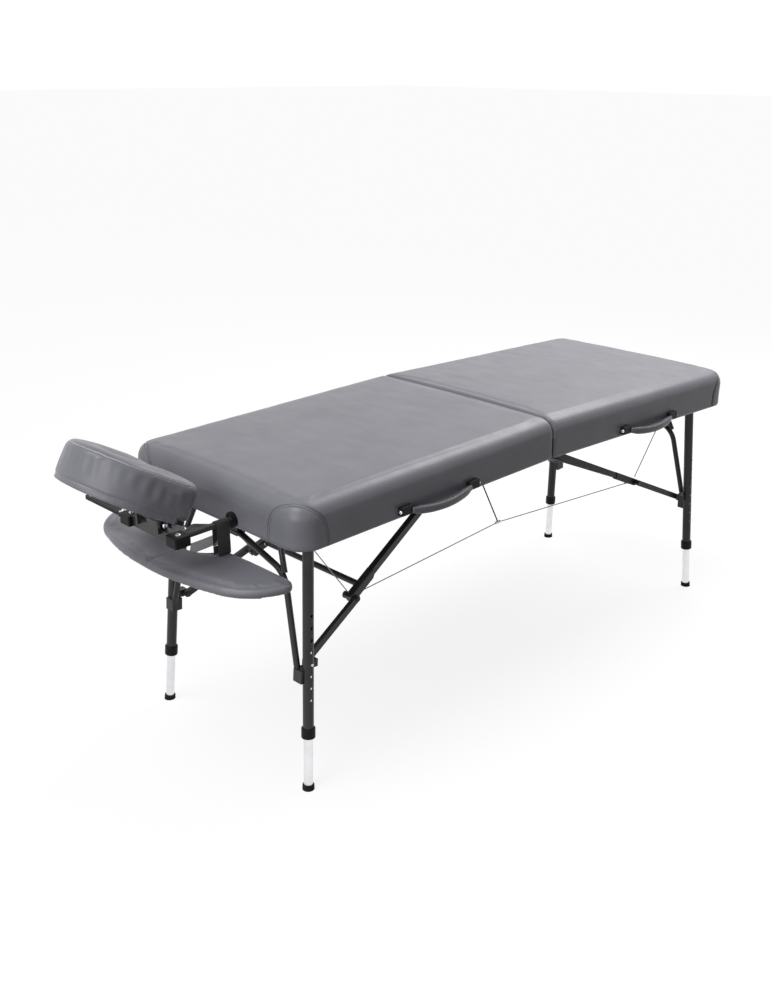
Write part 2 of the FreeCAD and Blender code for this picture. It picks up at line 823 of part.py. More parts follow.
def frame_brackets(end):
    """Apex plate, clamps at the arch's feet and stud brackets for the lower links."""
    bow = swept(arch_line(), d.arch_diameter / 2)
    depth = d.apex_bracket_depth
    width = d.apex_bracket_width
    drop = d.arch_apex_drop + d.arch_diameter
    plate = Part.makeBox(depth, width, drop, Vector((d.arch_offset - depth) / 2, -width / 2, -drop))
    solids = [feature(plate.cut(bow).cut(pivot_core()))]
    for side in SIDES:
        leg = leg_bar(side)
        solids.append(feature(foot_clamp(side, bow, leg)))
        solids.append(feature(link_bracket(side, leg)))
    subpart(f"{end}_frame_brackets", leg_frame[end], *solids)


def foot_clamp(side, bow, leg):
    """Block that ties the arch's foot to the leg."""
    inner = arch_foot_half_span - d.arch_diameter / 4
    outer = leg_line(d.arch_foot_drop)
    depth = d.foot_clamp_depth + d.arch_offset
    low = -d.arch_foot_drop - d.foot_clamp_height * 3 / 4
    start = Vector(-d.foot_clamp_depth / 2, inner if side > 0 else -outer, low)
    clamp = Part.makeBox(depth, outer - inner, d.foot_clamp_height, start).cut(leg).cut(bow)
    return max(clamp.Solids, key=lambda s: s.Volume)


def link_bracket(side, leg):
    """Block welded to the leg with a headed stud for the lower link."""
    spot = Vector(-d.link_pivot_offset, 0, -d.link_pivot_drop)
    link_face = link_foot_half_span + link_half_skew() + d.stud_side_gap
    inner_face = link_foot_half_span - link_half_skew() - d.stud_side_gap
    outer = leg_line(d.link_pivot_drop)
    depth = d.link_pivot_offset + d.stud_head_diameter / 2
    start = Vector(-depth, link_face if side > 0 else -outer, spot.z - d.link_bracket_height / 2)
    block = Part.makeBox(depth, outer - link_face, d.link_bracket_height, start).cut(leg)
    block = max(block.Solids, key=lambda s: abs(s.CenterOfMass.y - outer * side))
    inner_end = spot + Y * side * inner_face
    root = spot + Y * side * (link_face + d.stud_side_gap)
    stud = rod(inner_end, root, d.stud_diameter / 2)
    head = rod(inner_end - Y * side * d.stud_head_height, inner_end, d.stud_head_diameter / 2)
    return block.fuse([stud, head]).removeSplitter()


def link_half_skew():
    """Half of a lower link's width across, along y, over its eye."""
    yaw = math.atan2(link_foot_half_span - link_knee_half_span, link_length)
    return d.link_thickness / 2 / math.cos(yaw) + d.link_height / 2 * math.tan(yaw)


def side_name(end, side):
    return "near" if side == NEAR[end] else "far"


def inner_leg(end, side):
    """Bright inner tube, its rubber foot and the snap button."""
    name = f"{end}_{side_name(end, side)}"
    frame = leg_frame[end].multiply(leg_axis(side))
    low = -floor_drop + d.foot_sole
    radius = "leg_diameter / 2 - leg_wall - inner_clearance"
    outside = cylinder(radius, "inner_length", at(0, 0, low))
    inside = cylinder(radius + " - inner_wall", "inner_length", at(0, 0, low))
    level = -floor_drop + d.button_level
    facing = along(Y * side)
    hole = cylinder("button_diameter / 2 + pin_clearance", "leg_diameter", at(0, 0, level, facing))
    subpart(f"{name}_inner_leg", frame, cut(outside, inside, hole))

    cone = doc.addObject("Part::Cone", "Cone")
    bind(cone, Radius1="foot_bottom_diameter / 2", Radius2="foot_top_diameter / 2")
    bind(cone, Height="foot_height + foot_sole")
    cone.Placement = at(0, 0, -floor_drop - d.foot_sole)
    cup = cylinder(radius, "foot_height", at(0, 0, low))
    reach = d.foot_bottom_diameter * 2
    under = box("4 * foot_bottom_diameter", "4 * foot_bottom_diameter", "foot_height", Placement())
    under.Placement = frame.inverse().multiply(at(*ground_point(frame, reach), -d.foot_height))
    subpart(f"{name}_foot", frame, cut(cone, cup, under))

    tip = d.leg_diameter / 2 + d.button_proud
    root = at(0, side * (tip - d.button_length), level, facing)
    knob = cylinder("button_diameter / 2", "button_length", root)
    dome = rounded(knob, d.button_proud / 3, lambda e: abs(e.CenterOfMass.y) > tip - d.pick_slack)
    subpart(f"{name}_button", frame, dome)


def ground_point(frame, reach):
    """Corner of a square patch of floor centred under a leg."""
    foot = frame.multVec(Vector(0, 0, -floor_drop))
    return foot.x - reach, foot.y - reach


def cables(end):
    """Steel cables from the knees to the hanger, and short stays up to the leg pivot."""
    half, blade = half_frame[end], brace_frame[end]
    solids = []
    for side in SIDES:
        bar = channel_box(
            brace_length * 2, -d.channel_top_overhang, d.channel_width, d.channel_height, 0
        )
        run = brace_length / math.cos(channel_yaw)
        knee = channel_place(side).multVec(Vector(run, 0, 0))
        world_knee = blade.multVec(knee)
        bar.Placement = blade.multiply(channel_place(side))
        main = rod(junction_point(world_knee.y), world_knee, d.cable_diameter / 2)
        main = main.cut(bar).cut(junction_ferrule(world_knee.y))
        pivot = leg_frame[end].multVec(Vector())
        stay_top = Vector(pivot.x, world_knee.y, pivot.z)
        tube = pivot_core()
        tube.Placement = leg_frame[end]
        knee_end = channel_box(
            run + d.channel_top_overhang + d.channel_knee_overhang,
            -d.channel_top_overhang, d.channel_width, d.channel_height, 0,
        )
        knee_end.Placement = blade.multiply(channel_place(side))
        stay = rod(world_knee, stay_top, d.cable_diameter / 2).cut(knee_end).cut(tube)
        for wire in (main, stay):
            piece = max(wire.Solids, key=lambda s: s.Volume)
            piece.transformShape(half.inverse().Matrix)
            solids.append(feature(piece))
    subpart(f"{end}_cables", half, *solids)


def junction_point(side):
    """Where the cables of one long side meet under the hinge."""
    return Vector(0, math.copysign(junction_half_span, side), d.hinge_height - d.junction_drop)


def junction_ferrule(side):
    """Crimped ferrule that joins the cables of one long side."""
    reach = X * d.ferrule_length / 2
    spot = junction_point(side)
    return rod(spot - reach, spot + reach, d.ferrule_diameter / 2)


def cable_hangers():
    """Cords from the middle hinge to the cables, with a crimped ferrule each."""
    solids = []
    knuckle = rod(
        Vector(0, -half_width, d.hinge_height),
        Vector(0, half_width, d.hinge_height),
        d.knuckle_diameter / 2 + d.pin_clearance,
    )
    for side in SIDES:
        ferrule = junction_ferrule(side)
        top = Vector(0, side * d.hanger_half_span, d.hinge_height)
        cord = rod(junction_point(side), top, d.hanger_diameter / 2).cut(knuckle).cut(ferrule)
        solids.append(feature(max(cord.Solids, key=lambda s: s.Volume)))
        solids.append(feature(ferrule))
    subpart("cable_hangers", Placement(), *solids)


# Face cradle, in the head half's frame
prong_level = d.hinge_drop + d.prong_rise
block_start = half_length + d.prong_reach
block_middle = block_start + d.block_length / 2
tilt_axis = Vector(block_middle + d.tilt_axis_reach, 0, prong_level + d.tilt_axis_rise)
tilt_swing = Placement(tilt_axis, Rotation(Y, -d.tilt_angle))
tilt_frame = half_frame["head"].multiply(tilt_swing)


def cradle_sockets():
    """Flanged sockets for the prongs in the head end rail."""
    sockets = []
    for side in SIDES:
        spot = at(half_length - d.prong_insert, side * d.prong_half_spacing, prong_level, along(X))
        sleeve = cylinder("socket_diameter / 2", "prong_insert", spot)
        ring = at(half_length, side * d.prong_half_spacing, prong_level, along(X))
        flange = cylinder("socket_flange_diameter / 2", "socket_flange_thickness", ring)
        bore = cylinder("prong_diameter / 2 + pin_clearance", "prong_insert + socket_flange_thickness", spot)
        sockets.append(cut(fuse(sleeve, flange), bore))
    subpart("cradle_sockets", half_frame["head"], *sockets)


def cradle_prongs():
    """Two round prongs that push into the table's end."""
    prongs = []
    for side in SIDES:
        spot = at(half_length - d.prong_insert, side * d.prong_half_spacing, prong_level, along(X))
        prongs.append(cylinder("prong_diameter / 2", "prong_insert + prong_reach", spot))
    subpart("cradle_prongs", half_frame["head"], *prongs)


def cradle_base():
    """Blocks on the prongs, the bar between them and the tilt ears."""
    low = prong_level - d.block_drop - d.block_height / 2
    blocks = []
    for side in SIDES:
        spot = at(block_start, side * d.prong_half_spacing - d.block_width / 2, low)
        block = box("block_length", "block_width", "block_height", spot)
        blocks.append(rounded(block, d.block_edge, is_upright))
    gap = "2 * prong_half_spacing - block_width"
    start = -d.prong_half_spacing + d.block_width / 2
    bar_low = prong_level - d.block_drop - d.cradle_bar_height / 2
    bar_spot = at(block_middle - d.cradle_bar_depth / 2, start, bar_low)
    bar = box("cradle_bar_depth", gap, "cradle_bar_height", bar_spot)
    solids = [bar]
    for side in SIDES:
        inner = side * d.ear_half_spacing - d.ear_thickness / 2
        root = prong_level
        post = box(
            "2 * ear_radius", "ear_thickness", "tilt_axis_rise", at(tilt_axis.x - d.ear_radius, inner, root)
        )
        top = cylinder("ear_radius", "ear_thickness", at(tilt_axis.x, inner, tilt_axis.z, along(Y)))
        solids.extend([post, top])
    pin_half = d.ear_half_spacing + d.ear_thickness * 2 + d.tilt_side_gap
    pin = rod(tilt_axis - Y * pin_half, tilt_axis + Y * pin_half, d.tilt_pin_diameter / 2)
    bar_body = fuse(*solids, feature(pin))
    subpart("cradle_blocks", half_frame["head"], *blocks)
    subpart("cradle_crossbar", half_frame["head"], bar_body)


def cradle_lever():
    """Locking lever on a post beside the far block."""
    side = -NEAR["head"]
    edge = side * (d.prong_half_spacing + d.block_width / 2)
    hub = edge + side * (d.lever_hub_diameter / 2 + d.knuckle_gap)
    level = prong_level - d.block_drop
    low = level - d.lever_thickness / 2
    disc = cylinder("lever_hub_diameter / 2", "lever_thickness", at(block_middle, hub, low))
    start = hub if side > 0 else hub - d.lever_length
    corner = at(block_middle - d.lever_width / 2, start, low)
    bar = box("lever_width", "lever_length", "lever_thickness", corner)
    blade = rounded(bar, d.lever_width / 3, is_upright)
    bore = cylinder("lever_pin_diameter / 2 + pin_clearance", "lever_thickness", at(block_middle, hub, low))
    subpart("cradle_lever", half_frame["head"], cut(fuse(disc, blade), bore))

    post_low = level - d.lever_post_length / 2
    post = cylinder("lever_pin_diameter / 2", "lever_post_length", at(block_middle, hub, post_low))
    cap_gap = d.lever_thickness / 2 + d.knuckle_gap
    span = "lever_hub_diameter / 2 + knuckle_gap + lever_pin_diameter / 2"
    reach = d.lever_hub_diameter / 2 + d.knuckle_gap + d.lever_pin_diameter / 2
    first = edge if side > 0 else edge - reach
    height = "lever_post_length / 2 - lever_thickness / 2 - knuckle_gap"
    arms = [post]
    for arm_low in (level + cap_gap, post_low):
        spot = at(block_middle - d.lever_width / 2, first, arm_low)
        arms.append(box("lever_width", span, height, spot))
    subpart("lever_post", half_frame["head"], fuse(*arms))


def horseshoe(half_outer, half_inner, arm):
    """U-shaped outline in the xy plane, open towards -x, tips at x = 0."""
    tip = (half_outer - half_inner) / 2
    outer_start, outer_end = Vector(arm, half_outer, 0), Vector(arm, -half_outer, 0)
    inner_start, inner_end = Vector(arm, half_inner, 0), Vector(arm, -half_inner, 0)
    edges = [
        Part.Arc(outer_start, Vector(arm + half_outer, 0, 0), outer_end).toShape(),
        Part.Arc(inner_start, Vector(arm + half_inner, 0, 0), inner_end).toShape(),
    ]
    for side in SIDES:
        outer_tip, inner_tip = Vector(tip, side * half_outer, 0), Vector(tip, side * half_inner, 0)
        edges.append(Part.LineSegment(outer_tip, Vector(arm, side * half_outer, 0)).toShape())
        edges.append(Part.LineSegment(inner_tip, Vector(arm, side * half_inner, 0)).toShape())
        edges.append(Part.Arc(outer_tip, Vector(0, side * (half_inner + tip), 0), inner_tip).toShape())
    return Part.Face(Part.Wire(Part.sortEdges(edges)[0]))


def cradle_platform():
    """Horseshoe plate with two lugs on the tilt pin."""
    outline = horseshoe(
        d.cushion_half_width - d.platform_margin,
        d.cushion_opening_half_width + d.platform_margin,
        d.cushion_arm_length,
    )
    plate = outline.extrude(Z * d.platform_thickness)
    plate.translate(Vector(-d.cushion_back_reach, 0, d.platform_lift))
    for side in SIDES:
        inner = d.ear_half_spacing + d.ear_thickness / 2 + d.tilt_side_gap
        start = inner if side > 0 else -inner - d.ear_thickness
        lug = Part.makeCylinder(d.ear_radius, d.ear_thickness, Vector(0, start, 0), Y)
        web_corner = Vector(-d.ear_radius, start, 0)
        web = Part.makeBox(2 * d.ear_radius, d.ear_thickness, d.platform_lift, web_corner)
        plate = plate.fuse([lug, web])
        foot_reach = d.cushion_opening_half_width + d.platform_margin - inner
        shelf_start = inner if side > 0 else -inner - foot_reach - d.ear_thickness
        tab = Part.makeBox(
            2 * d.ear_radius, foot_reach + d.ear_thickness, d.platform_thickness,
            Vector(-d.ear_radius, shelf_start, d.platform_lift),
        )
        plate = plate.fuse(tab)
    bore = rod(Y * -half_width, Y * half_width, d.tilt_pin_diameter / 2 + d.pin_clearance)
    subpart("cradle_platform", tilt_frame, feature(plate.removeSplitter().cut(bore)))


def cradle_cushion():
    """Horseshoe face cushion with rolled edges."""
    outline = horseshoe(d.cushion_half_width, d.cushion_opening_half_width, d.cushion_arm_length)
    block = outline.extrude(Z * d.cushion_thickness)
    top = [e for e in block.Edges if e.BoundBox.ZMin > d.cushion_thickness - d.pick_slack]
    soft = block.makeFillet(d.cushion_edge_radius, top)
    low = [e for e in soft.Edges if e.BoundBox.ZMax < d.pick_slack]
    soft = soft.makeFillet(d.cushion_edge_radius / 2, low)
    soft.translate(Vector(-d.cushion_back_reach, 0, d.platform_lift + d.platform_thickness))
    subpart("cradle_cushion", tilt_frame, feature(soft))


def shelf_point(reach, offset):
    return Vector(half_length + reach, offset, 0)


def shelf_outline():
    """Crescent with two rear lobes, a notch between them and rounded tips."""
    edges = []
    for side in SIDES:
        span = side * d.shelf_half_span
        shoulder = shelf_point(d.shelf_shoulder_reach, side * d.shelf_shoulder_half_span)
        bend = shelf_point(d.shelf_bend_reach, side * d.shelf_bend_half_span)
        tip = shelf_point(d.shelf_tip_reach, span)
        turn = d.shelf_tip_radius * math.sqrt(0.5)
        inner_tip = shelf_point(d.shelf_tip_reach - d.shelf_tip_radius, span - side * d.shelf_tip_radius)
        tip_middle = shelf_point(d.shelf_tip_reach - turn, span - side * (d.shelf_tip_radius - turn))
        lobe = shelf_point(d.shelf_lobe_reach, side * d.shelf_lobe_half_span)
        notch = shelf_point(d.shelf_notch_start, side * d.shelf_notch_half_width)
        edges.append(Part.Arc(shoulder, bend, tip).toShape())
        edges.append(Part.Arc(tip, tip_middle, inner_tip).toShape())
        edges.append(Part.Arc(inner_tip, lobe, notch).toShape())
    near, far = [shelf_point(d.shelf_notch_start, side * d.shelf_notch_half_width) for side in SIDES]
    edges.append(Part.Arc(near, shelf_point(d.shelf_notch_reach, 0), far).toShape())
    near, far = [shelf_point(d.shelf_shoulder_reach, side * d.shelf_shoulder_half_span) for side in SIDES]
    edges.append(Part.Arc(near, shelf_point(d.shelf_apex_reach, 0), far).toShape())
    return Part.Face(Part.Wire(Part.sortEdges(edges)[0]))


def arm_shelf():
    """Padded board that hangs under the cradle."""
    board = shelf_outline().extrude(Z * d.shelf_thickness)
    top = [e for e in board.Edges if e.BoundBox.ZMin > d.shelf_thickness - d.pick_slack]
    soft = board.makeFillet(d.shelf_edge_radius, top)
    soft.translate(Z * (prong_level - d.shelf_drop - d.shelf_thickness))
    subpart("arm_shelf", half_frame["head"], feature(soft))


def shelf_straps():
    """Webbing loops that hang the shelf from the prongs."""
    loops = []
    inner = d.prong_diameter / 2 + d.strap_play
    outer = inner + d.strap_thickness
    for side in SIDES:
        spot = Vector(half_length + d.strap_reach, side * d.prong_half_spacing, prong_level)
        drop = d.shelf_drop
        loop = Part.makeCylinder(outer, d.strap_width, spot, X)
        loop = loop.fuse(Part.makeBox(d.strap_width, 2 * outer, drop, spot - Y * outer - Z * drop))
        hollow = Part.makeCylinder(inner, d.strap_width, spot, X)
        floor = drop - d.strap_thickness
        hollow = hollow.fuse(Part.makeBox(d.strap_width, 2 * inner, floor, spot - Y * inner - Z * floor))
        loops.append(feature(loop.cut(hollow).removeSplitter()))
        loops.append(feature(sling(side, spot - Y * side * outer)))
    subpart("shelf_straps", half_frame["head"], *loops)


def sling(side, spot):
    """Flat band from a loop down to the shelf beside its notch."""
    high = spot + X * d.strap_width / 2 - Z * d.shelf_drop / 2
    low = shelf_point(d.shelf_notch_reach, side * d.shelf_notch_half_width / 4)
    low = low + Z * (prong_level - d.shelf_drop)
    run = high - low
    flat = Vector(run.x, run.y, 0).normalize()
    across = Z.cross(flat)
    half = across * d.strap_width / 2
    lift = Z * d.strap_thickness
    corners = [low - half, low + half, high + half, high - half]
    outline = Part.makePolygon(corners + corners[:1])
    return Part.Face(outline).extrude(lift)


def check_document():
    """Stop on any failed feature or unusable shape."""
    for item in doc.Objects:
        if "Invalid" in item.State or "Error" in item.State:
            raise RuntimeError(f"{item.Name} ({item.Label}) failed: {item.State}")
    for label, item in subparts.items():
        if item.Shape.isNull() or not item.Shape.isValid() or not item.Shape.Solids:
            raise RuntimeError(f"{label} has no valid solid")


def centre_on_origin():
    """Put the origin on the floor, under the middle of the whole object's box."""
    whole = FreeCAD.BoundBox()
    for item in subparts.values():
        whole.add(item.Shape.optimalBoundingBox(False))
    shift = Vector(-whole.Center.x, -whole.Center.y, 0)
    for item in subparts.values():
        item.Placement = at(*shift).multiply(item.Placement)
    return shift


for each_end in ENDS:
    table_frame(each_end)
    deck(each_end)
    side_cover(each_end)
    pad(each_end)
    handle(each_end)
    hinge_leaves(each_end)
    leg_bearings(each_end)
    brace_anchor(each_end)
    pivot_tube(each_end)
    outer_legs(each_end)
    leg_collars(each_end)
    arch(each_end)
    frame_brackets(each_end)
    brace(each_end)
    lower_links(each_end)
    cables(each_end)
    for each_side in SIDES:
        inner_leg(each_end, each_side)
hinge_pins()
cable_hangers()
cradle_sockets()
cradle_prongs()
cradle_base()
cradle_lever()
cradle_platform()
cradle_cushion()
arm_shelf()
shelf_straps()

doc.recompute()
check_document()
origin_shift = centre_on_origin()
doc.recompute()
check_document()
os.makedirs("parts", exist_ok=True)
for label, item in subparts.items():
    item.Shape.exportStep(os.path.join("parts", f"{label}.step"))
print(len(subparts), "sub-parts, origin shift", origin_shift)
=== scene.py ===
"""Looks of the folding massage table: upholstery, cables, small fittings, materials, light and camera."""
import math

import bmesh
import bpy
from mathutils import Matrix, Vector, noise
from mathutils.bvhtree import BVHTree
from mathutils.kdtree import KDTree


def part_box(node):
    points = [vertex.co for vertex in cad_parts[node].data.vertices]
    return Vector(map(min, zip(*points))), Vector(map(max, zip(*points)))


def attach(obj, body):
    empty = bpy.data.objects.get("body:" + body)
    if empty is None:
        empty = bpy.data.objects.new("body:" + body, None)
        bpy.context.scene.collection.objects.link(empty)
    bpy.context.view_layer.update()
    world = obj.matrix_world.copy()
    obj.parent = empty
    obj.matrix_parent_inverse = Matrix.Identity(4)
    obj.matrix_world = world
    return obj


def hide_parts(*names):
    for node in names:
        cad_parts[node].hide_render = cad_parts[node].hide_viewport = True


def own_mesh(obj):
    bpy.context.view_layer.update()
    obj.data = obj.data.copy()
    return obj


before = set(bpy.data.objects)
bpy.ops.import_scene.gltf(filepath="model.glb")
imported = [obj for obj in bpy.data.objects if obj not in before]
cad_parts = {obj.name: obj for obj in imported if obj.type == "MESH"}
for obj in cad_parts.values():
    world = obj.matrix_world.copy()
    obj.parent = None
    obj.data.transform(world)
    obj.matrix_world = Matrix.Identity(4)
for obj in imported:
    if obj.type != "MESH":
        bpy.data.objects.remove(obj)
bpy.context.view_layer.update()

scene = bpy.context.scene
ENDS = ("head", "foot")
SIDES = (1, -1)
# In a half's own frame x runs outward from the hinge, so the near long side is +y at the head
NEAR = {"head": 1, "foot": -1}

# Places taken from the solids
pin_low, pin_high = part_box("hinge_pins")
hinge = (pin_low + pin_high) / 2
PEAK = math.radians(1.32)
tilted = Matrix.Rotation(PEAK, 4, "Y")
HALF = {
    "head": Matrix.Translation(hinge) @ Matrix.Rotation(math.pi, 4, "Z") @ tilted,
    "foot": Matrix.Translation(hinge) @ tilted,
}
HALF_LENGTH, HALF_WIDTH, CORNER = 0.925, 0.350, 0.060
RAIL_LOW, DECK_TOP = 0.0025, 0.0685
EDGE_ROLL, HINGE_GAP = 0.042, 0.0022
PRONG_SPACING, PRONG_LEVEL = 0.098, 0.0225
KNEE = Vector((0.63713, 0.206, 0.42502))
PIVOT = Vector((0.83426, 0.206, 0.68878))
PIVOT_TUBE = 0.011
JUNCTION = Vector((0, 0.162, 0.442))
HANGER_TOP = Vector((0, 0.007, 0.6825))
BRACE_SLOPE = math.radians(23.383 + 1.32)
CABLE, HANGER = 0.003, 0.0042


def floor_point(x, y, z):
    """A point measured from the hinge's middle along and across, and from the floor up."""
    return Vector((hinge.x + x, hinge.y + y, z))


def mirrored(point, end, side):
    """A point of the foot end's far side, moved to another end and side of the table."""
    along = point.x if end == "foot" else -point.x
    return floor_point(along, side * point.y, point.z)


def smoothstep(low, high, value):
    t = min(max((value - low) / (high - low), 0), 1)
    return t * t * (3 - 2 * t)


# Materials
def principled(name):
    """A new node material with its shader and object coordinates."""
    made = bpy.data.materials.new(name)
    made.use_nodes = True
    tree = made.node_tree
    shader = tree.nodes["Principled BSDF"]
    coords = tree.nodes.new("ShaderNodeTexCoord")
    return made, tree, shader, coords


def stretched(tree, source, scale):
    mapping = tree.nodes.new("ShaderNodeMapping")
    mapping.inputs["Scale"].default_value = scale
    tree.links.new(source, mapping.inputs["Vector"])
    return mapping.outputs["Vector"]


def noise_texture(tree, vector, scale, detail=4):
    node = tree.nodes.new("ShaderNodeTexNoise")
    node.inputs["Scale"].default_value = scale
    node.inputs["Detail"].default_value = detail
    tree.links.new(vector, node.inputs["Vector"])
    return node.outputs["Fac"]


def cell_texture(tree, vector, scale):
    node = tree.nodes.new("ShaderNodeTexVoronoi")
    node.feature = "SMOOTH_F1"
    node.inputs["Scale"].default_value = scale
    tree.links.new(vector, node.inputs["Vector"])
    return node.outputs["Distance"]


def band_texture(tree, vector, scale, distortion=0.0):
    node = tree.nodes.new("ShaderNodeTexWave")
    node.inputs["Scale"].default_value = scale
    node.inputs["Distortion"].default_value = distortion
    node.inputs["Detail"].default_value = 2
    tree.links.new(vector, node.inputs["Vector"])
    return node.outputs["Fac"]


def ramp(tree, factor, low, high, stops=(0.3, 0.7)):
    node = tree.nodes.new("ShaderNodeValToRGB")
    for element, position, colour in zip(node.color_ramp.elements, stops, (low, high)):
        element.position = position
        element.color = (*colour, 1)
    tree.links.new(factor, node.inputs["Fac"])
    return node.outputs["Color"]


def spread_value(tree, factor, low, high):
    node = tree.nodes.new("ShaderNodeMapRange")
    node.inputs["From Min"].default_value = 0.3
    node.inputs["From Max"].default_value = 0.7
    node.inputs["To Min"].default_value = low
    node.inputs["To Max"].default_value = high
    tree.links.new(factor, node.inputs["Value"])
    return node.outputs["Result"]


def bumped(tree, shader, heights):
    """Stack bump maps: each height has its own depth in metres and strength."""
    normal = None
    for height, depth, strength in heights:
        node = tree.nodes.new("ShaderNodeBump")
        node.inputs["Distance"].default_value = depth
        node.inputs["Strength"].default_value = strength
        tree.links.new(height, node.inputs["Height"])
        if normal is not None:
            tree.links.new(normal, node.inputs["Normal"])
        normal = node.outputs["Normal"]
    tree.links.new(normal, shader.inputs["Normal"])


def shades(colour, spread):
    return [c * (1 - spread) for c in colour], [min(c * (1 + spread), 1) for c in colour]


def vinyl(name, colour):
    """Upholstery vinyl: fine pebbled grain, soft sheen, faint handling marks."""
    made, tree, shader, coords = principled(name)
    spot = coords.outputs["Object"]
    cloud = noise_texture(tree, spot, 9)
    tree.links.new(ramp(tree, cloud, *shades(colour, 0.07)), shader.inputs["Base Color"])
    smear = noise_texture(tree, stretched(tree, spot, (1, 0.4, 1)), 26)
    tree.links.new(spread_value(tree, smear, 0.33, 0.43), shader.inputs["Roughness"])
    grain = cell_texture(tree, spot, 620)
    pores = noise_texture(tree, spot, 1500, 2)
    creases = noise_texture(tree, stretched(tree, spot, (1, 0.55, 1.3)), 38, 5)
    bumped(tree, shader, [(creases, 0.0012, 0.16), (grain, 0.00022, 0.32), (pores, 0.00008, 0.25)])
    shader.inputs["Specular IOR Level"].default_value = 0.42
    shader.inputs["Sheen Weight"].default_value = 0.05
    return made


def coated_metal(name, colour):
    """Satin powder coat: orange peel, faint dust and rubbed patches."""
    made, tree, shader, coords = principled(name)
    spot = coords.outputs["Object"]
    cloud = noise_texture(tree, spot, 14, 6)
    tree.links.new(ramp(tree, cloud, *shades(colour, 0.3)), shader.inputs["Base Color"])
    rubbed = noise_texture(tree, stretched(tree, spot, (1, 1, 0.25)), 30, 6)
    tree.links.new(spread_value(tree, rubbed, 0.3, 0.44), shader.inputs["Roughness"])
    peel = noise_texture(tree, spot, 900, 2)
    bumped(tree, shader, [(peel, 0.00012, 0.22)])
    shader.inputs["Specular IOR Level"].default_value = 0.32
    return made


def bright_metal(name, colour, rough, lines):
    """Bare metal with fine drawn lines and slight clouding."""
    made, tree, shader, coords = principled(name)
    spot = coords.outputs["Object"]
    cloud = noise_texture(tree, spot, 30, 5)
    tree.links.new(ramp(tree, cloud, *shades(colour, 0.06)), shader.inputs["Base Color"])
    drawn = noise_texture(tree, stretched(tree, spot, lines), 5, 3)
    tree.links.new(spread_value(tree, drawn, rough - 0.06, rough + 0.08), shader.inputs["Roughness"])
    bumped(tree, shader, [(drawn, 0.00005, 0.25)])
    shader.inputs["Metallic"].default_value = 1.0
    return made


def moulded(name, colour, rough, texture_scale):
    """Moulded plastic or rubber: spark-eroded texture and dull scuffs."""
    made, tree, shader, coords = principled(name)
    spot = coords.outputs["Object"]
    cloud = noise_texture(tree, spot, 45, 5)
    tree.links.new(ramp(tree, cloud, *shades(colour, 0.22)), shader.inputs["Base Color"])
    tree.links.new(spread_value(tree, cloud, rough - 0.05, rough + 0.07), shader.inputs["Roughness"])
    pits = cell_texture(tree, spot, texture_scale)
    scuffs = noise_texture(tree, spot, 320, 3)
    bumped(tree, shader, [(pits, 0.00015, 0.3), (scuffs, 0.0001, 0.15)])
    shader.inputs["Specular IOR Level"].default_value = 0.14
    return made


def wood(name, light, dark, grain_stretch):
    """Plain timber with long grain and a fine open pore."""
    made, tree, shader, coords = principled(name)
    long_grain = stretched(tree, coords.outputs["Object"], grain_stretch)
    figure = band_texture(tree, long_grain, 3, 6)
    fibre = noise_texture(tree, long_grain, 60, 6)
    tree.links.new(ramp(tree, figure, dark, light, (0.15, 0.75)), shader.inputs["Base Color"])
    tree.links.new(spread_value(tree, fibre, 0.55, 0.75), shader.inputs["Roughness"])
    bumped(tree, shader, [(fibre, 0.0003, 0.3)])
    return made


def woven(name, colour, across, along, rough):
    """Woven band or braid on flat coordinates in metres: ribs one way, yarns the other."""
    made, tree, shader, coords = principled(name)
    flat = coords.outputs["UV"]
    ribs = band_texture(tree, stretched(tree, flat, (across, 0, 0)), 1)
    yarn = band_texture(tree, stretched(tree, flat, (along, along, 0)), 1, 0.4)
    fuzz = noise_texture(tree, coords.outputs["Object"], 700, 3)
    tree.links.new(ramp(tree, yarn, *shades(colour, 0.35)), shader.inputs["Base Color"])
    tree.links.new(spread_value(tree, fuzz, rough - 0.08, rough + 0.06), shader.inputs["Roughness"])
    bumped(tree, shader, [(ribs, 0.0004, 0.5), (yarn, 0.0003, 0.5), (fuzz, 0.0001, 0.3)])
    shader.inputs["Sheen Weight"].default_value = 0.12
    return made


GREY = (0.185, 0.184, 0.212)
top_vinyl = vinyl("grey_vinyl", GREY)
grip_vinyl = vinyl("grip_vinyl", (0.12, 0.12, 0.135))
# The piping gets a lighter grey than the cushion vinyl: a painted highlight for the light rim along the
# cushion's top edges.
painted_highlight_piping_vinyl = vinyl("painted_highlight_piping_vinyl", (0.4, 0.4, 0.44))
thread = moulded("thread", (0.085, 0.085, 0.1), 0.7, 2400)
black_coat = coated_metal("black_coat", (0.04, 0.04, 0.041))
silver_tube = bright_metal("silver_tube", (0.78, 0.78, 0.8), 0.27, (160, 160, 4))
zinc = bright_metal("zinc", (0.62, 0.63, 0.65), 0.3, (60, 60, 60))
plastic = moulded("black_moulding", (0.009, 0.009, 0.0095), 0.46, 900)
rubber = moulded("black_rubber", (0.013, 0.013, 0.013), 0.72, 1400)
rail_wood = wood("rail_wood", (0.075, 0.06, 0.045), (0.04, 0.032, 0.024), (1.2, 14, 14))
deck_wood = wood("deck_wood", (0.68, 0.53, 0.35), (0.52, 0.38, 0.22), (9, 1, 20))
strand = bright_metal("strand_wire", (0.2, 0.2, 0.205), 0.46, (300, 300, 300))
braid = woven("braided_cord", (0.05, 0.05, 0.052), 3000, 2200, 0.75)
webbing = woven("black_webbing", (0.02, 0.02, 0.021), 1700, 900, 0.8)
grey_webbing = woven("grey_webbing", (0.24, 0.24, 0.25), 1700, 900, 0.8)


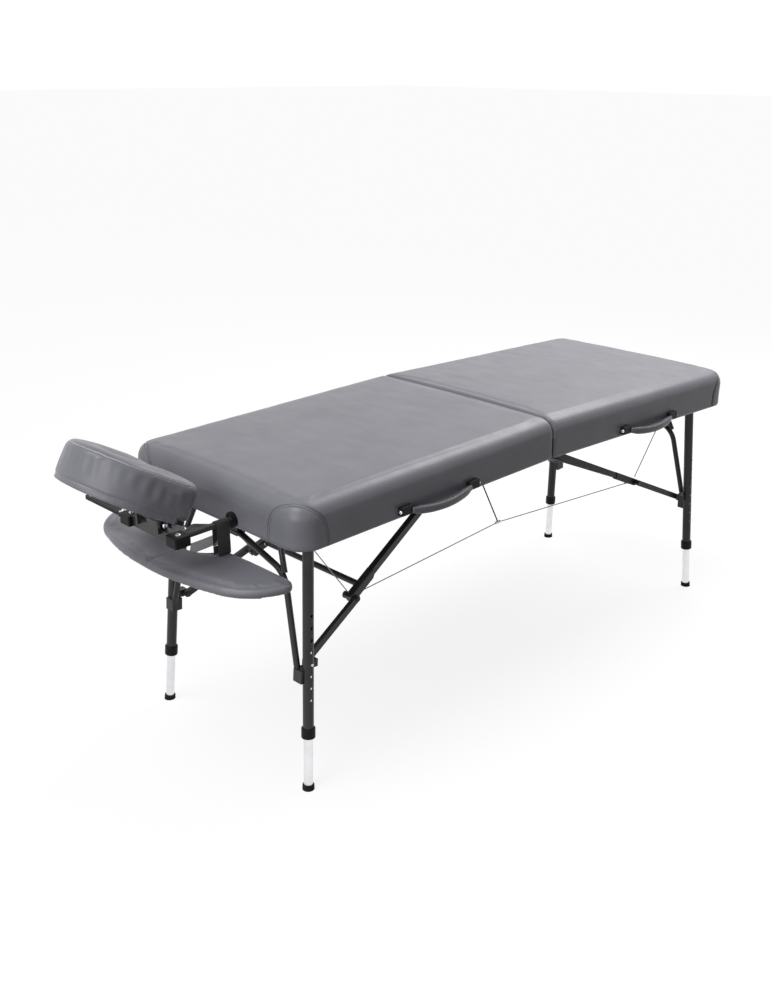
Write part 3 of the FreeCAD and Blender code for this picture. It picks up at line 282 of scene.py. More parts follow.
# Mesh helpers
def new_object(name, bm, matrix=None):
    mesh = bpy.data.meshes.new(name)
    bm.normal_update()
    bm.to_mesh(mesh)
    bm.free()
    if matrix is not None:
        mesh.transform(matrix)
    made = bpy.data.objects.new(name, mesh)
    scene.collection.objects.link(made)
    return made


def dressed(made, body, finish, smooth=True):
    """Give a piece its finish and let it move with a body."""
    made.data.materials.clear()
    made.data.materials.append(finish)
    for polygon in made.data.polygons:
        polygon.use_smooth = smooth
    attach(made, body)
    return made


def sharpened(made, degrees=35):
    """Keep hard edges crisp on a smooth piece."""
    limit = math.radians(degrees)
    bm = bmesh.new()
    bm.from_mesh(made.data)
    for edge in bm.edges:
        if len(edge.link_faces) == 2 and edge.calc_face_angle(0) > limit:
            edge.smooth = False
    bm.to_mesh(made.data)
    bm.free()
    return made


def add_rings(bm, rings, closed_ends=True, loop=False):
    """Skin a run of closed rings with faces and flat coordinates in metres."""
    layer = bm.loops.layers.uv.verify()
    count = len(rings[0])
    verts = [[bm.verts.new(p) for p in ring] for ring in rings]
    around = [0.0]
    for a, b in zip(rings[0], rings[0][1:] + rings[0][:1]):
        around.append(around[-1] + (b - a).length)
    travel = [0.0]
    for before, after in zip(rings, rings[1:] + rings[:1]):
        travel.append(travel[-1] + (after[0] - before[0]).length)
    last = len(rings) if loop else len(rings) - 1
    for i in range(last):
        following = verts[(i + 1) % len(verts)]
        for k in range(count):
            after = (k + 1) % count
            face = bm.faces.new((verts[i][k], verts[i][after], following[after], following[k]))
            spots = ((around[k], travel[i]), (around[k + 1], travel[i]),
                     (around[k + 1], travel[i + 1]), (around[k], travel[i + 1]))
            for corner, spot in zip(face.loops, spots):
                corner[layer].uv = spot
    if closed_ends and not loop:
        bm.faces.new(list(reversed(verts[0])))
        bm.faces.new(verts[-1])


def path_frames(points, loop=False):
    """Tangent and two side directions at each point, carried along without twist."""
    frames = []
    side = None
    for i, point in enumerate(points):
        if loop:
            ahead = points[(i + 1) % len(points)] - points[i - 1]
        else:
            ahead = points[min(i + 1, len(points) - 1)] - points[max(i - 1, 0)]
        ahead = ahead.normalized()
        if side is None:
            pick = Vector((0, 0, 1)) if abs(ahead.z) < 0.9 else Vector((1, 0, 0))
            side = ahead.cross(pick).normalized()
        side = (side - ahead * side.dot(ahead)).normalized()
        frames.append((ahead, side, ahead.cross(side)))
    return frames


def add_tube(bm, points, radius, sides=12, lobes=0, lobe_depth=0.0, pitch=1.0):
    """A tube along points; with lobes it is a twisted strand."""
    rings = []
    travelled = 0.0
    before = points[0]
    for point, (_, side, up) in zip(points, path_frames(points)):
        travelled += (point - before).length
        before = point
        ring = []
        for k in range(sides):
            angle = 2 * math.pi * k / sides
            turn = angle - 2 * math.pi * travelled / pitch
            reach = radius - lobe_depth * (0.5 - 0.5 * math.cos(lobes * turn)) if lobes else radius
            ring.append(point + side * math.cos(angle) * reach + up * math.sin(angle) * reach)
        rings.append(ring)
    add_rings(bm, rings)


def add_lathe(bm, profile, place, sides=24):
    """A turned form: radius and height pairs about the z axis of a place."""
    rings = []
    for radius, height in profile:
        ring = []
        for k in range(sides):
            angle = 2 * math.pi * k / sides
            ring.append(place @ Vector((radius * math.cos(angle), radius * math.sin(angle), height)))
        rings.append(ring)
    add_rings(bm, rings)


def facing(point, direction):
    """A frame at a point with z along a direction."""
    return Matrix.Translation(point) @ direction.to_track_quat("Z", "Y").to_matrix().to_4x4()


def spline_points(route, resolution):
    """Points read from the smooth spline that a route's points control."""
    curve = bpy.data.curves.new("route", "CURVE")
    curve.dimensions = "3D"
    spline = curve.splines.new("NURBS")
    spline.points.add(len(route) - 1)
    for control, point in zip(spline.points, route):
        control.co = (*point, 1)
    spline.order_u = 3
    spline.use_endpoint_u = True
    spline.resolution_u = resolution
    holder = bpy.data.objects.new("route", curve)
    scene.collection.objects.link(holder)
    mesh = bpy.data.meshes.new_from_object(holder)
    points = [v.co.copy() for v in mesh.vertices]
    bpy.data.objects.remove(holder)
    bpy.data.curves.remove(curve)
    bpy.data.meshes.remove(mesh)
    return points


def add_stitches(bm, points, normals, pitch, length, radius):
    """A row of short thread stitches lying on a surface along points."""
    travelled = 0.0
    due = pitch / 2
    for a, b, normal in zip(points, points[1:], normals):
        step = (b - a).length
        while due <= travelled + step:
            middle = a.lerp(b, (due - travelled) / step)
            ahead = (b - a).normalized()
            run = []
            for t in (-1, -0.7, 0, 0.7, 1):
                lift = radius * (0.9 - 0.9 * t * t)
                run.append(middle + ahead * (t * length / 2) + normal * lift)
            add_tube(bm, run, radius, 6)
            due += pitch
        travelled += step


def add_ribbon(bm, points, across, width, thickness):
    """A flat band along points with softly rounded edges; across gives its width direction."""
    rings = []
    half, skin = width / 2, thickness / 2
    flat = half - skin
    outline = [(-half, 0), (-flat, -skin), (flat, -skin), (half, 0), (flat, skin), (-flat, skin)]
    frames = path_frames(points)
    for i, (point, (ahead, _, _)) in enumerate(zip(points, frames)):
        wide = across[i] if isinstance(across, list) else across
        wide = (wide - ahead * wide.dot(ahead)).normalized()
        up = wide.cross(ahead)
        rings.append([point + wide * u + up * v for u, v in outline])
    add_rings(bm, rings)


def with_modifier(made, kind, **values):
    """Apply one modifier to a piece's mesh."""
    modifier = made.modifiers.new(kind.lower(), kind)
    for key, value in values.items():
        setattr(modifier, key, value)
    graph = bpy.context.evaluated_depsgraph_get()
    graph.update()
    mesh = bpy.data.meshes.new_from_object(made.evaluated_get(graph))
    made.modifiers.clear()
    old = made.data
    made.data = mesh
    bpy.data.meshes.remove(old)
    return made


def inflated(made, share, pressure, cap, frames=20):
    """Swell a skin outward by a short cloth run, as far as each place's share and the cap allow."""
    group = made.vertex_groups.new(name="held")
    group.add([v.index for v in made.data.vertices if share(v.co) <= 0], 1.0, "REPLACE")
    cloth = made.modifiers.new("cloth", "CLOTH")
    settings = cloth.settings
    settings.quality = 6
    settings.mass = 0.3
    settings.tension_stiffness = 14
    settings.compression_stiffness = 14
    settings.shear_stiffness = 6
    settings.bending_stiffness = 0.6
    settings.use_pressure = True
    settings.uniform_pressure_force = pressure
    settings.effector_weights.gravity = 0
    settings.vertex_group_mass = "held"
    cloth.point_cache.frame_start = 1
    cloth.point_cache.frame_end = frames
    for number in range(1, frames + 1):
        scene.frame_set(number)
    graph = bpy.context.evaluated_depsgraph_get()
    swollen = made.evaluated_get(graph).data
    moved = []
    for vertex, after in zip(made.data.vertices, swollen.vertices):
        move = after.co - vertex.co
        move -= vertex.normal * min(move.dot(vertex.normal), 0)
        if move.length > cap:
            move *= cap / move.length
        moved.append(vertex.co + move * share(vertex.co))
    made.modifiers.clear()
    made.vertex_groups.clear()
    made.data.vertices.foreach_set("co", [c for spot in moved for c in spot])
    made.data.update()
    scene.frame_set(1)
    return made


def surface_tree(made):
    return BVHTree.FromPolygons([v.co for v in made.data.vertices], [p.vertices for p in made.data.polygons])


def on_surface(tree, points):
    """Nearest spots and outward directions on a surface."""
    spots, normals = [], []
    for point in points:
        spot, normal, _, _ = tree.find_nearest(point)
        spots.append(spot)
        normals.append(normal)
    return spots, normals


def grooved(made, points, depth, width):
    """Press a soft valley into a skin along points."""
    near = KDTree(len(points))
    for i, point in enumerate(points):
        near.insert(point, i)
    near.balance()
    moves = []
    for vertex in made.data.vertices:
        _, _, distance = near.find(vertex.co)
        if distance < 3 * width:
            moves.append((vertex, vertex.normal * (depth * math.exp(-((distance / width) ** 2)))))
    for vertex, move in moves:
        vertex.co -= move
    made.data.update()


def displaced(made, push):
    """Move each point of a skin along its normal by what push gives for its place."""
    places = [v.co.copy() for v in made.data.vertices]
    normals = [v.normal.copy() for v in made.data.vertices]
    moved = [place + normal * push(place) for place, normal in zip(places, normals)]
    made.data.vertices.foreach_set("co", [c for spot in moved for c in spot])
    made.data.update()


# Camera
CAMERA_FROM_HINGE = Vector((-2.4655, -2.1913, 1.7288))
AZIMUTH, ELEVATION, ROLL = math.radians(-44.5), math.radians(21.0), math.radians(0.48)
camera_data = bpy.data.cameras.new("camera")
camera_data.lens = 41.31
camera_data.sensor_width = 36
camera = bpy.data.objects.new("camera", camera_data)
scene.collection.objects.link(camera)
back = Vector((
    math.sin(AZIMUTH) * math.cos(ELEVATION),
    -math.cos(AZIMUTH) * math.cos(ELEVATION),
    math.sin(ELEVATION),
))
level = (-back).cross(Vector((0, 0, 1))).normalized()
upright = level.cross(-back)
right = level * math.cos(ROLL) + upright * math.sin(ROLL)
above = -level * math.sin(ROLL) + upright * math.cos(ROLL)
turned = Matrix((right, above, back)).transposed().to_4x4()
camera.matrix_world = Matrix.Translation(floor_point(*CAMERA_FROM_HINGE)) @ turned
scene.camera = camera


# Cables
STRAND_LOBES, STRAND_PITCH, LOBE_DEPTH = 6, 0.014, 0.0004
BRAID_LOBES, BRAID_PITCH, BRAID_DEPTH = 8, 0.02, 0.0003
MAIN_START, MAIN_SHORT, MAIN_SLEEVE = 0.03, 0.008, 0.036
STAY_START, STAY_SLEEVE, HANGER_SHORT = 0.016, 0.009, 0.002


def cable(name, start, finish, end):
    """A taut stranded steel cable carried by its end's brace."""
    path = spline_points([start, start.lerp(finish, 0.5), finish], 300)
    bm = bmesh.new()
    add_tube(bm, path, CABLE / 2, 18, STRAND_LOBES, LOBE_DEPTH, STRAND_PITCH)
    made = new_object(name, bm)
    dressed(made, f"{end}_brace", strand)
    across_brace = Vector((math.sin(BRACE_SLOPE), 0, math.cos(BRACE_SLOPE)))
    if end == "head":
        across_brace.x *= -1
    return made, across_brace


def sleeve(name, spot, direction, body):
    """Crimped ferrule on a cable's end."""
    profile = [(0.0018, -0.007), (0.0028, -0.0066), (0.0031, -0.005), (0.0031, -0.0035), (0.0025, -0.0028),
               (0.0025, -0.0012), (0.0031, -0.0005), (0.0031, 0.0012), (0.0025, 0.0019), (0.0025, 0.0035),
               (0.0031, 0.0042), (0.0031, 0.006), (0.0027, 0.0068), (0.0018, 0.007)]
    bm = bmesh.new()
    add_lathe(bm, profile, facing(spot, direction), 20)
    return dressed(new_object(name, bm), body, zinc)


def cables(end):
    """Main cables and stays of one end, with their crimped sleeves."""
    for side in SIDES:
        tag = f"{end}_{'far' if side > 0 else 'near'}"
        knee = mirrored(KNEE, end, side)
        pivot = mirrored(PIVOT, end, side)
        junction = mirrored(JUNCTION, end, side)
        main_way = (junction - knee).normalized()
        stay_way = (pivot - knee).normalized()
        runs = {
            "main": (knee + main_way * MAIN_START, junction - main_way * MAIN_SHORT),
            "stay": (knee + stay_way * STAY_START, pivot - stay_way * PIVOT_TUBE),
        }
        for word, (start, finish) in runs.items():
            made, across_brace = cable(f"{tag}_{word}_cable", start, finish, end)
            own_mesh(made)
            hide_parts(f"{end}_cables")
        sleeve(f"{tag}_main_sleeve", knee + main_way * MAIN_SLEEVE, main_way, f"{end}_brace")
        top_sleeve = pivot - stay_way * (PIVOT_TUBE + STAY_SLEEVE)
        sleeve(f"{tag}_stay_sleeve", top_sleeve, stay_way, f"{end}_half")


LEAF_CLEAR, LEAF_BLEND, PINCHED = 0.04, 0.07, 0.18


def pinched(made, top):
    """Press a cord flat where it passes between the hinge leaves."""
    for vertex in made.data.vertices:
        depth = top.z - vertex.co.z
        thick = PINCHED + (1 - PINCHED) * smoothstep(LEAF_CLEAR, LEAF_BLEND, depth)
        vertex.co.x = top.x + (vertex.co.x - top.x) * thick
    made.data.update()


def hangers():
    """Braided cords from the middle hinge down to the crimped cable junctions."""
    for side in SIDES:
        tag = "far" if side > 0 else "near"
        top = mirrored(HANGER_TOP, "foot", side)
        junction = mirrored(JUNCTION, "foot", side)
        way = (junction - top).normalized()
        start, finish = top, junction - way * HANGER_SHORT
        path = spline_points([start, start.lerp(finish, 0.5), finish], 200)
        bm = bmesh.new()
        add_tube(bm, path, HANGER / 2, 16, BRAID_LOBES, BRAID_DEPTH, BRAID_PITCH)
        made = dressed(new_object(f"{tag}_hanger_cord", bm), "hinge", braid)
        pinched(made, top)
        ferrule = junction_ferrule(tag, junction)
        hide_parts("cable_hangers")


def junction_ferrule(tag, spot):
    """Double-barrel crimp where both cables and the cord meet."""
    half = [(0.0045, 0.0032), (0.0036, 0.0044), (0.0036, 0.0064), (0.0045, 0.0075),
            (0.0045, 0.0095), (0.0038, 0.011), (0.0022, 0.0115)]
    profile = [(radius, -height) for radius, height in reversed(half)] + half
    bm = bmesh.new()
    add_lathe(bm, profile, facing(spot, Vector((1, 0, 0))), 24)
    return dressed(new_object(f"{tag}_junction_ferrule", bm), "hinge", zinc)


for each_end in ENDS:
    cables(each_end)
hangers()


# Upholstery
def corner_outline(inset, count):
    """Closed outline of a half: square at the hinge, rounded at the outer corners."""
    points = [Vector((HINGE_GAP, -HALF_WIDTH + inset, 0))]
    radius = CORNER - inset
    for side, start in ((-1, -90), (1, 0)):
        middle = Vector((HALF_LENGTH - CORNER, side * (HALF_WIDTH - CORNER), 0))
        for k in range(count + 1):
            angle = math.radians(start + 90 * k / count)
            points.append(middle + Vector((math.cos(angle), math.sin(angle), 0)) * radius)
    points.append(Vector((HINGE_GAP, HALF_WIDTH - inset, 0)))
    return points


HEM, HEM_TURN = RAIL_LOW - 0.0018, 0.018


def raw_skin():
    """The pad's own form and the band round the rails as one closed block."""
    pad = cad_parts["foot_pad"].data.copy()
    pad.transform(HALF["foot"].inverted())
    bm = bmesh.new()
    bm.from_mesh(pad)
    bmesh.ops.remove_doubles(bm, verts=bm.verts, dist=1e-5)
    rings = []
    for inset, height in ((-0.0012, HEM), (-0.0012, HEM + 0.006), (0, HEM + 0.02), (0, 0.074)):
        rings.append([p + Vector((0, 0, height)) for p in corner_outline(inset, 10)])
    add_rings(bm, rings)
    bpy.data.meshes.remove(pad)
    return new_object("skin", bm)


SKIN_VOXEL = 0.006
SWELL_LOW, SWELL_HIGH, SKIN_PRESSURE, SKIN_CAP = 0.045, 0.115, 1.6, 0.003


def skin_mesh():
    """Vinyl skin of one half in the half's own frame, swollen a little by its foam."""
    made = with_modifier(raw_skin(), "REMESH", mode="VOXEL", voxel_size=SKIN_VOXEL)
    bm = bmesh.new()
    bm.from_mesh(made.data)
    under = []
    for face in bm.faces:
        spot = face.calc_center_median()
        depth = min(HALF_LENGTH - spot.x, HALF_WIDTH - abs(spot.y))
        if spot.z < RAIL_LOW + 0.0005 and depth > HEM_TURN:
            under.append(face)
    bmesh.ops.delete(bm, geom=under, context="FACES")
    bmesh.ops.smooth_vert(bm, verts=bm.verts, factor=0.5, use_axis_x=True, use_axis_y=True, use_axis_z=True)
    bm.to_mesh(made.data)
    bm.free()
    inflated(made, lambda co: smoothstep(SWELL_LOW, SWELL_HIGH, co.z), SKIN_PRESSURE, SKIN_CAP)
    with_modifier(made, "SUBSURF", levels=1, render_levels=1)
    displaced(made, skin_wave)
    return made


def skin_wave(spot):
    """Slight unevenness of foam under vinyl, dying out toward the hem."""
    slack = smoothstep(0.02, 0.1, spot.z)
    return slack * (noise.noise(spot * 7) * 0.0009 + noise.noise(spot * 21) * 0.00035)


PATCH_HALF_RUN, PATCH_TOP, PATCH_SHIFT = 0.088, 0.110, -0.016
SEAM_DEPTH, SEAM_WIDTH, SEAM_ROWS = 0.0022, 0.0034, (-0.0042, 0.0042)


def outline_spot(run):
    """A point and outward direction on the outline, by distance from the middle of the +y outer corner."""
    half_arc = CORNER * math.pi / 4
    middle = Vector((HALF_LENGTH - CORNER, HALF_WIDTH - CORNER, 0))
    if abs(run) <= half_arc:
        angle = math.pi / 4 + run / CORNER
        out = Vector((math.cos(angle), math.sin(angle), 0))
        return middle + out * CORNER, out
    beyond = abs(run) - half_arc
    if run > 0:
        return Vector((HALF_LENGTH - CORNER - beyond, HALF_WIDTH, 0)), Vector((0, 1, 0))
    return Vector((HALF_LENGTH, HALF_WIDTH - CORNER - beyond, 0)), Vector((1, 0, 0))


def patch_seam(side):
    """Arched seam of the corner patch, from the bottom edge over and back down."""
    points = []
    steps = 120
    for k in range(steps + 1):
        angle = math.pi * k / steps
        swing = math.cos(angle)
        run = PATCH_SHIFT - PATCH_HALF_RUN * math.copysign(abs(swing) ** 0.75, swing)
        height = RAIL_LOW + (PATCH_TOP - RAIL_LOW) * max(math.sin(angle), 0) ** 0.75
        spot, out = outline_spot(run)
        rolled = max(height - (DECK_TOP + 0.004), 0) / EDGE_ROLL
        inset = EDGE_ROLL * (1 - math.sqrt(max(1 - rolled * rolled, 0)))
        spot = spot - out * inset + Vector((0, 0, height))
        points.append(Vector((spot.x, side * spot.y, spot.z)))
    return points


def upholstery():
    """Sewn vinyl skin of both halves, with the stitched patches at their outer corners."""
    made = skin_mesh()
    seams = [patch_seam(side) for side in SIDES]
    for seam in seams:
        tree = surface_tree(made)
        spots, _ = on_surface(tree, seam)
        grooved(made, spots, SEAM_DEPTH, SEAM_WIDTH)
    tree = surface_tree(made)
    threads = bmesh.new()
    for seam in seams:
        for shift in SEAM_ROWS:
            row = []
            spots, normals = on_surface(tree, seam)
            for i, (spot, normal) in enumerate(zip(spots, normals)):
                ahead = (seam[min(i + 1, len(seam) - 1)] - seam[max(i - 1, 0)]).normalized()
                row.append(spot + ahead.cross(normal) * shift)
            spots, normals = on_surface(tree, row)
            add_stitches(threads, spots, normals, 0.0055, 0.0042, 0.0005)
    stitching = new_object("stitching", threads)
    for end in ENDS:
        for source, name, finish in ((made, "upholstery", top_vinyl), (stitching, "patch_stitches", thread)):
            mesh = source.data.copy()
            mesh.transform(HALF[end])
            placed = bpy.data.objects.new(f"{end}_{name}", mesh)
            scene.collection.objects.link(placed)
            dressed(placed, f"{end}_half", finish)
            if name == "upholstery":
                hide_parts(f"{end}_pad", f"{end}_side_cover")
    bpy.data.objects.remove(made)
    bpy.data.objects.remove(stitching)


upholstery()


# Face cushion and arm shelf
def remeshed_copy(node, name, voxel):
    """A fine even skin over a copy of a soft solid."""
    bm = bmesh.new()
    bm.from_mesh(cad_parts[node].data)
    bmesh.ops.remove_doubles(bm, verts=bm.verts, dist=1e-5)
    made = new_object(name, bm)
    return with_modifier(made, "REMESH", mode="VOXEL", voxel_size=voxel)


TILT = math.radians(31)
TILT_AXIS = Vector((1.092, 0, 0.0455))
FACE = HALF["head"] @ Matrix.Translation(TILT_AXIS) @ Matrix.Rotation(-TILT, 4, "Y")
CUSHION_LOW, CUSHION_THICK = 0.026, 0.092
CUSHION_ARM, CUSHION_BACK = 0.136, 0.014
CUSHION_OUTER, CUSHION_INNER = 0.142, 0.048
SKIRT_WIDTH, SKIRT_DROP, SKIRT_THICK = 0.010, 0.007, 0.0014
TIP_LENGTH, RIM_INSET, RIM_DROP = 0.05, 0.009, 0.012
PIPING_RADIUS, PIPING_LIFT = 0.0016, 0.0006


def horseshoe_line(reach, height, steps=90):
    """A line round the cushion at a distance from its middle arc, tips left open."""
    middle = CUSHION_ARM - CUSHION_BACK
    points = []
    for k in range(steps + 1):
        angle = math.radians(-90 + 180 * k / steps)
        points.append(Vector((middle + reach * math.cos(angle), reach * math.sin(angle), height)))
    tip = -CUSHION_BACK + TIP_LENGTH
    start = [Vector((tip + (middle - tip) * k / 16, -reach, height)) for k in range(16)]
    finish = [Vector((p.x, -p.y, p.z)) for p in reversed(start)]
    return start + points + finish


def cushion_wrinkle(spot):
    """Gathers of the loose cover on the cushion's sides, and slight softness all over."""
    height = spot.z - CUSHION_LOW
    side = smoothstep(0.012, 0.05, height) * (1 - smoothstep(0.06, 0.085, height))
    around = math.atan2(spot.y, spot.x - CUSHION_ARM + CUSHION_BACK)
    gathers = math.sin(around * 26 + 2.2 * noise.noise(spot * 14)) * noise.noise(spot * 9 + Vector((4, 1, 7)))
    return gathers * 0.0036 * side + noise.noise(spot * 18) * 0.0009


def cover_skirt():
    """Loose hem of the cushion's cover, hanging lower toward the near tip."""
    line = []
    spots = horseshoe_line(CUSHION_OUTER - 0.0035, CUSHION_LOW + 0.001)
    for i, spot in enumerate(spots):
        wave = 0.0008 * math.sin(i * 1.3) + 0.0006 * noise.noise(spot * 30)
        line.append(FACE @ (spot + Vector((0, math.copysign(wave, spot.y), 0))))
    bm = bmesh.new()
    add_ribbon(bm, line, FACE.to_3x3() @ Vector((0, 0, 1)), SKIRT_WIDTH, SKIRT_THICK)
    made = new_object("face_cushion_skirt", bm)
    into = FACE.inverted()
    for vertex in made.data.vertices:
        spot = into @ vertex.co
        if spot.z < CUSHION_LOW:
            share = smoothstep(-CUSHION_OUTER, CUSHION_OUTER, spot.y)
            spot.z -= SKIRT_DROP * share
            vertex.co = FACE @ spot
    made.data.update()
    dressed(made, "face_rest", top_vinyl)


def face_cushion():
    """Puffed horseshoe cushion with gathers on its sides and piping round its rims."""
    made = remeshed_copy("cradle_cushion", "face_cushion", 0.005)
    into = FACE.inverted()
    low, high = CUSHION_LOW + 0.006, CUSHION_LOW + 0.03
    inflated(made, lambda co: smoothstep(low, high, (into @ co).z), 3.2, 0.006)
    with_modifier(made, "SUBSURF", levels=1, render_levels=1)
    displaced(made, lambda co: cushion_wrinkle(into @ co))
    level = CUSHION_LOW + CUSHION_THICK - RIM_DROP
    rim = [FACE @ p for p in horseshoe_line(CUSHION_OUTER - RIM_INSET, level)]
    inner_rim = [FACE @ p for p in horseshoe_line(CUSHION_INNER + RIM_INSET, level)]
    tree = surface_tree(made)
    for line in (rim, inner_rim):
        spots, _ = on_surface(tree, line)
        grooved(made, spots, 0.0016, 0.0028)
    tree = surface_tree(made)
    bm = bmesh.new()
    for line in (rim, inner_rim):
        spots, normals = on_surface(tree, line)
        add_tube(bm, [s + n * PIPING_LIFT for s, n in zip(spots, normals)], PIPING_RADIUS, 10)
    # The piping's light grey is a painted highlight along the cushion rims.
    dressed(new_object("face_cushion_piping", bm), "face_rest", painted_highlight_piping_vinyl)
    dressed(made, "face_rest", top_vinyl)
    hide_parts("cradle_cushion")


SHELF_TOP = PRONG_LEVEL - 0.081
SHELF_GAP, SHELF_DEPTH = 0.078, 0.115


def arm_shelf():
    """Padded crescent shelf with a sewn seam across its middle."""
    made = remeshed_copy("arm_shelf", "padded_arm_shelf", 0.0045)
    into = HALF["head"].inverted()
    low, high = SHELF_TOP - 0.016, SHELF_TOP - 0.004
    inflated(made, lambda co: smoothstep(low, high, (into @ co).z), 3.0, 0.004)
    with_modifier(made, "SUBSURF", levels=1, render_levels=1)
    start = HALF_LENGTH + SHELF_GAP
    seam = [HALF["head"] @ Vector((start + SHELF_DEPTH * k / 60, 0, SHELF_TOP)) for k in range(61)]
    spots, _ = on_surface(surface_tree(made), seam)
    grooved(made, spots, 0.0055, 0.006)
    displaced(made, lambda co: noise.noise(co * 16) * 0.0008)
    tree = surface_tree(made)
    bm = bmesh.new()
    for shift in (-0.005, 0.005):
        spots, normals = on_surface(tree, [p + Vector((0, shift, 0)) for p in seam])
        add_stitches(bm, spots, normals, 0.006, 0.0044, 0.0005)
    dressed(new_object("shelf_stitches", bm), "cradle", thread)
    dressed(made, "cradle", top_vinyl)
    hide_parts("arm_shelf")


face_cushion()
cover_skirt()
arm_shelf()


# Carry handles
HANDLE_INSET, HANDLE_SPAN, HANDLE_RISE = 0.458, 0.248, 0.020
MOUNT_LENGTH, MOUNT_DEPTH = 0.040, 0.014
GRIP_BOW, GRIP_SAG = 0.020, 0.012
GRIP_TALL, GRIP_DEEP, GRIP_SQUARE, GRIP_SIDES = 0.0112, 0.0082, 0.85, 28
SEAM_DROP, RIVET_RADIUS, RIVET_SHARE = 0.0102, 0.0055, 0.55


def handle_line(end, steps=60):
    """Centre line of a grip in its half's frame: an even bow outward and down."""
    side = NEAR[end]
    middle = HALF_LENGTH - HANDLE_INSET
    reach = HANDLE_SPAN / 2 - MOUNT_LENGTH / 2 + 0.004
    points = []
    for k in range(steps + 1):
        t = -1 + 2 * k / steps
        bow = 1 - (t * reach / (HANDLE_SPAN / 2)) ** 2
        y = side * (HALF_WIDTH + MOUNT_DEPTH / 2 + GRIP_BOW * bow)
        points.append(Vector((middle + t * reach, y, RAIL_LOW + HANDLE_RISE - GRIP_SAG * bow)))
    return points


def handle(end):
    """Padded grip with a sewn underside, and rivets on the outer ends of its blocks."""
    side = NEAR[end]
    line = handle_line(end)
    rings = []
    seam, seam_normals = [], []
    for i, (point, (ahead, _, _)) in enumerate(zip(line, path_frames(line))):
        out = Vector((0, side, 0))
        out = (out - ahead * out.dot(ahead)).normalized()
        up = out.cross(ahead) * side
        t = abs(-1 + 2 * i / (len(line) - 1))
        full = 1 - 0.28 * smoothstep(0.72, 1, t)
        ring = []
        for k in range(GRIP_SIDES):
            angle = 2 * math.pi * k / GRIP_SIDES
            c, s = math.cos(angle), math.sin(angle)
            tall = math.copysign(abs(s) ** GRIP_SQUARE, s) * GRIP_TALL * full
            deep = math.copysign(abs(c) ** GRIP_SQUARE, c) * GRIP_DEEP * full
            pinch = 1 - 0.16 * math.exp(-((angle - 1.5 * math.pi) / 0.22) ** 2)
            ripple = 1 + 0.02 * noise.noise(point * 40 + Vector((c, s, 0)))
            ring.append(point + (out * deep + up * tall) * pinch * ripple)
        rings.append(ring)
        seam.append(point - up * SEAM_DROP * full)
        seam_normals.append(-up)
    bm = bmesh.new()
    add_rings(bm, rings)
    grip = new_object(f"{end}_padded_grip", bm, HALF[end])
    dressed(grip, f"{end}_half", grip_vinyl)
    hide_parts(f"{end}_handle_grip")
    bm = bmesh.new()
    add_stitches(bm, seam, seam_normals, 0.006, 0.0045, 0.0005)
    dressed(new_object(f"{end}_grip_stitches", bm, HALF[end]), f"{end}_half", thread)
    middle = HALF_LENGTH - HANDLE_INSET
    for way in SIDES:
        along = middle + way * (HANDLE_SPAN + MOUNT_LENGTH) / 2
        spot = Vector((along, side * (HALF_WIDTH + MOUNT_DEPTH * RIVET_SHARE), RAIL_LOW + HANDLE_RISE))
        screw(f"{end}_handle_rivet_{'out' if way > 0 else 'in'}", HALF[end] @ spot,
              HALF[end].to_3x3() @ Vector((way, 0, 0)), RIVET_RADIUS, f"{end}_half")


def screw(name, spot, direction, radius, body):
    """Domed screw head with a socket in it."""
    shares = ((0.97, -0.0004), (1, 0.0004), (0.93, 0.0015), (0.72, 0.0026),
              (0.5, 0.003), (0.44, 0.0029), (0.42, 0.0012), (0.05, 0.001))
    profile = [(radius * share, height) for share, height in shares]
    bm = bmesh.new()
    add_lathe(bm, profile, facing(spot, direction), 24)
    return dressed(sharpened(new_object(name, bm)), body, zinc)


for each_end in ENDS:
    handle(each_end)


# Knee saddles
BRACE_ANCHOR = Vector((0.040, 0.100, 0.0135))
CHANNEL_YAW = math.radians(9.166)
BRACE_LOCAL_SLOPE = math.radians(23.383)
BRACE_RUN = 0.656956 / math.cos(CHANNEL_YAW)
SADDLE_HALF, SADDLE_TOP, SADDLE_LOW = 0.0092, 0.0092, -0.0125
SADDLE_SIDE, SADDLE_SKIN, SADDLE_BEND = 0.0022, 0.0006, 0.0022
SADDLE_BACK, SADDLE_FRONT = 0.098, 0.0115
KNEE_RIVET, KNEE_RIVET_BACK = 0.0058, (0.04, 0.075)


def channel_place(end, side):
    """Frame of a channel: x along it to the knee, z up across it."""
    anchor = Vector((BRACE_ANCHOR.x, side * BRACE_ANCHOR.y, BRACE_ANCHOR.z))
    turn = Matrix.Rotation(BRACE_LOCAL_SLOPE, 4, "Y") @ Matrix.Rotation(side * CHANNEL_YAW, 4, "Z")
    return HALF[end] @ Matrix.Translation(anchor) @ turn


